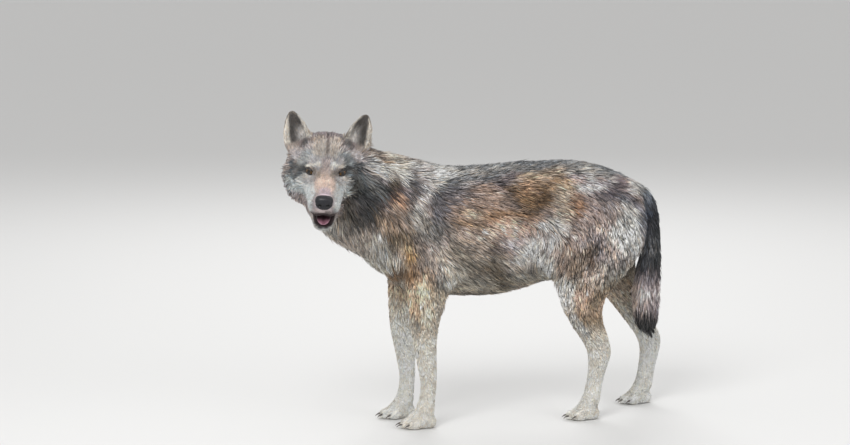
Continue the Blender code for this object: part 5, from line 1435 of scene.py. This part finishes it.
# out from the slit, how far over the eyeball: down its inner side, over the edge and under the hair
LID_ROLL = (
    (0.000, -0.0016), (0.000, 0.0001), (0.0004, 0.0011), (0.0011, 0.0014),
    (0.0022, 0.0014), (0.0040, 0.0007), (0.0062, -0.0022),
)
for side, sign in HEAD_SIDES.items():
    rows = []
    for out, over in LID_ROLL:
        x, y = slit_x + np.cos(b) * out, slit_y + np.sin(b) * out
        z = np.sqrt(np.clip((EYE_RADIUS + 0.0004) ** 2 - x**2 - y**2, 0.0030**2, None))
        place = np.stack([x, y, z], 1)
        rows.append(place + made_unit(place) * over)
    own = np.vstack(rows) @ EYE_AXES + EYE_AT
    shape = tube_faces(len(rows), columns, False, False)
    if sign < 0:
        shape = shape[:, ::-1]
    lid_points = from_head(own * (1, sign, 1))
    outside = normals_of(lid_points, shape)[3 * columns : 4 * columns].mean(0)
    facing = outside @ (EYE_AXES[2] * (1, sign, 1) @ HEAD_TURN.T)
    lid = mesh_piece(f"eyelids_{side}", lid_points, shape if facing > 0 else shape[:, ::-1])
    lid.data.materials.append(lid_material)
    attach(lid, "root")

# ================================================================ nose
# The bare pad of the nose, of black pebbled leather: broad above, narrower below, with a groove
# down the middle and two nostrils that run out to slits at the sides.
NOSE_AT = np.array((0.1365, 0.0, -0.0440))
NOSE_RADII = np.array((0.0170, 0.0232, 0.0195))
NOSE_TIP_DOWN = math.radians(14)


def two_tones(material, share, low, high):
    """A colour that runs from low to high as the share, an output, goes from 0 to 1."""
    ramp = material.node_tree.nodes.new("ShaderNodeValToRGB")
    for stop, colour in zip(ramp.color_ramp.elements, (low, high)):
        stop.color = (*colour, 1)
    material.node_tree.links.new(share, ramp.inputs["Fac"])
    return ramp.outputs["Color"]


def colour_by(material, attribute, first, second):
    """Base Color from first to second, a colour or an output each, as the attribute goes to 1."""
    nodes, links = material.node_tree.nodes, material.node_tree.links
    share, mixed = nodes.new("ShaderNodeAttribute"), nodes.new("ShaderNodeMix")
    share.attribute_name = attribute
    mixed.data_type = "RGBA"
    links.new(share.outputs["Fac"], mixed.inputs["Factor"])
    for name, colour in (("A", first), ("B", second)):
        if isinstance(colour, tuple):
            mixed.inputs[name].default_value = (*colour, 1)
        else:
            links.new(colour, mixed.inputs[name])
    links.new(mixed.outputs["Result"], nodes["Principled BSDF"].inputs["Base Color"])


nose_material, _, _, shader = plain_material("nose leather", (0.008, 0.008, 0.010), 0.5)
pebbles = texture(nose_material, "ShaderNodeTexVoronoi", "Distance", 620.0)
raise_by(nose_material, pebbles, 0.45, 0.0007)
leather = two_tones(nose_material, pebbles, (0.018, 0.018, 0.023), (0.005, 0.005, 0.007))
# the nostrils and their slits painted darker still than the leather: painted shade in their hollows
colour_by(nose_material, "nostril", leather, (0.002, 0.002, 0.002))
shader.inputs["Specular IOR Level"].default_value = 0.25
shader.inputs["Coat Weight"].default_value = 0.28
shader.inputs["Coat Roughness"].default_value = 0.24
rings, columns = 70, 96
a = np.linspace(0, math.pi, rings + 2)[1:-1, None]
b = np.arange(columns) * 2 * math.pi / columns
unit = np.stack([np.cos(a) + 0 * b, np.sin(a) * np.cos(b), np.sin(a) * np.sin(b)], 2).reshape(-1, 3)
unit = np.vstack([unit, (1, 0, 0), (-1, 0, 0)])
# squarer than a ball in front, broader above than below
power = 2.6
length = (np.abs(unit) ** power).sum(1, keepdims=True) ** (1 / power)
form = unit / length
form[:, 1] *= 1 + 0.10 * form[:, 2] - 0.10 * np.clip(-form[:, 2], 0, 1) ** 2
form = form * NOSE_RADII
x, y, z = form[:, 0], np.abs(form[:, 1]), form[:, 2]
in_front = smooth_step(x, -0.004, 0.006)
pit = np.exp(-(((y - 0.0105) / 0.0046) ** 2 + ((z + 0.0030) / 0.0042) ** 2) ** 1.2)
t = np.clip((y - 0.0115) / 0.011, 0, 1)
slit_line = np.exp(-(((z + 0.0040 - 0.0030 * t) / 0.0015) ** 2)) * (y > 0.0105)
dent = 0.0060 * pit + 0.0028 * slit_line * (1 - pit)
groove = 0.0012 * np.exp(-((y / 0.0009) ** 2)) * smooth_step(-z, -0.004, 0.004)
wing = 0.0010 * np.exp(-(((y - 0.0165) / 0.004) ** 2 + ((z - 0.002) / 0.006) ** 2))
form[:, 0] -= in_front * (dent * smooth_step(x, 0.0, 0.010) + groove - wing)
form[:, 1] -= np.sign(form[:, 1]) * in_front * slit_line * 0.0022 * smooth_step(y, 0.017, 0.022)
c, d = math.cos(NOSE_TIP_DOWN), math.sin(NOSE_TIP_DOWN)
form = form @ np.array(((c, 0, -d), (0, 1, 0), (d, 0, c))) + NOSE_AT
shape = tube_faces(rings, columns, True, True)
nose = mesh_piece("nose_pad", from_head(form), turned_out(form - NOSE_AT, shape))
# where the nostrils are painted dark, as painted shade in their hollows
stored_value(nose, "nostril", in_front * np.clip(pit * 1.3 + 0.6 * slit_line, 0, 1))
nose.data.materials.append(nose_material)
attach(nose, "root")
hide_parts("nose")

# ================================================================ tongue
# A soft pink tongue that lies along the floor of the mouth, hollowed down its middle and rounded
# off at the tip, its rear painted dark as painted shadow under the upper jaw.
tongue_material, _, _, shader = plain_material("tongue", (0.50, 0.17, 0.19), 0.38)
buds = texture(tongue_material, "ShaderNodeTexNoise", "Fac", 1100.0)
raise_by(tongue_material, buds, 0.35, 0.0006)
flesh = two_tones(tongue_material, buds, (0.27, 0.115, 0.155), (0.46, 0.23, 0.30))
# the rear of the tongue painted dark: painted shadow
colour_by(tongue_material, "out_of_painted_shadow", (0.03, 0.013, 0.016), flesh)
shader.inputs["Coat Weight"].default_value = 0.3
shader.inputs["Coat Roughness"].default_value = 0.3
TONGUE_HALF_WIDTH = 0.0200
rings, columns = 34, 40
t = np.linspace(0.02, 0.985, rings)[:, None]
b = np.arange(columns) * 2 * math.pi / columns
rounded = np.sqrt(np.clip(1 - np.clip((t - 0.78) / 0.22, 0, 1) ** 2, 0.02, 1))
across = TONGUE_HALF_WIDTH * rounded * np.interp(t, (0, 0.2, 1), (0.5, 0.85, 1.0))
thick = np.interp(t, (0, 0.2, 0.7, 0.95, 1.0), (0.003, 0.0065, 0.0055, 0.0040, 0.001))
y = across * np.cos(b)
hollow = 0.0030 * np.exp(-((y / 0.0035) ** 2)) * (np.sin(b) > 0)
lifted_edge = 0.0030 * (np.abs(y) / 0.0175) ** 2
x = -0.012 + 0.1255 * t + 0 * b
z = -0.0565 - 0.51 * x + thick * np.sin(b) - hollow * np.sin(b)
z = z + lifted_edge + 0.003 * smooth_step(x, 0.05, 0.09)
own = np.stack([x, y, z], 2).reshape(-1, 3)
own = np.vstack([own, own[:columns].mean(0) - (0.001, 0, 0), own[-columns:].mean(0) + (0.001, 0, 0)])
shape = turned_out(own - own.mean(0), tube_faces(rings, columns, True, True))
tongue = mesh_piece("tongue_piece", from_head(own), shape)
# 0 at the rear, in painted shadow, rising to 1 towards the tip
stored_value(tongue, "out_of_painted_shadow", smooth_step(own[:, 0], 0.0955, 0.1075))
tongue.data.materials.append(tongue_material)
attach(tongue, "root")
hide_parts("tongue")

# ================================================================ claws
# Blunt curved claws of dark horn, one to a toe, each a ring carried along a bend that narrows
# to the tip.
claw_material, _, links, shader = plain_material("claw horn", (0.05, 0.045, 0.04), 0.35)
streaks = texture(claw_material, "ShaderNodeTexNoise", "Fac", 420.0)
horn = two_tones(claw_material, streaks, (0.030, 0.026, 0.024), (0.12, 0.10, 0.085))
links.new(horn, shader.inputs["Base Color"])
rings, columns = 8, 10
t = np.linspace(0, 1, rings)[:, None]
b = np.arange(columns) * 2 * math.pi / columns
bend_x, bend_z = 0.0165 * t, 0.0020 * t - 0.0088 * t**2
girth = 0.0031 * (1 - 0.85 * t**1.4)
x, y, z = bend_x + girth * np.sin(b) * 0.35 * t, girth * 0.82 * np.cos(b), bend_z + girth * np.sin(b)
own = np.stack([x, y, z], 2).reshape(-1, 3)
own = np.vstack([own, (-0.001, 0, 0), (0.0172, 0, -0.0074)])
shape = turned_out(own - own.mean(0), tube_faces(rings, columns, True, True))
CLAW_INSET = 0.006  # how far back from the tip of the toe a claw starts
FAN = 5  # radians that a claw turns aside for each metre that its toe is off the paw's middle
claw_points, claw_faces = [], []
for paw in PAWS:
    axes, at = paw_frame(paw)
    for reach, offset, half in TOES:
        fan = offset * FAN
        start = np.array((
            reach + math.cos(fan) * (half - CLAW_INSET),
            offset * TOE_SPREAD + math.sin(fan) * (half - CLAW_INSET),
            TOE_HEIGHT + 0.002,
        ))
        claw_faces.append(shape + len(own) * len(claw_points))
        claw_points.append((own @ level_turn(fan) + start) @ axes + at)
claws = mesh_piece("claws", np.vstack(claw_points), np.vstack(claw_faces))
claws.data.materials.append(claw_material)
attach(claws, "root")
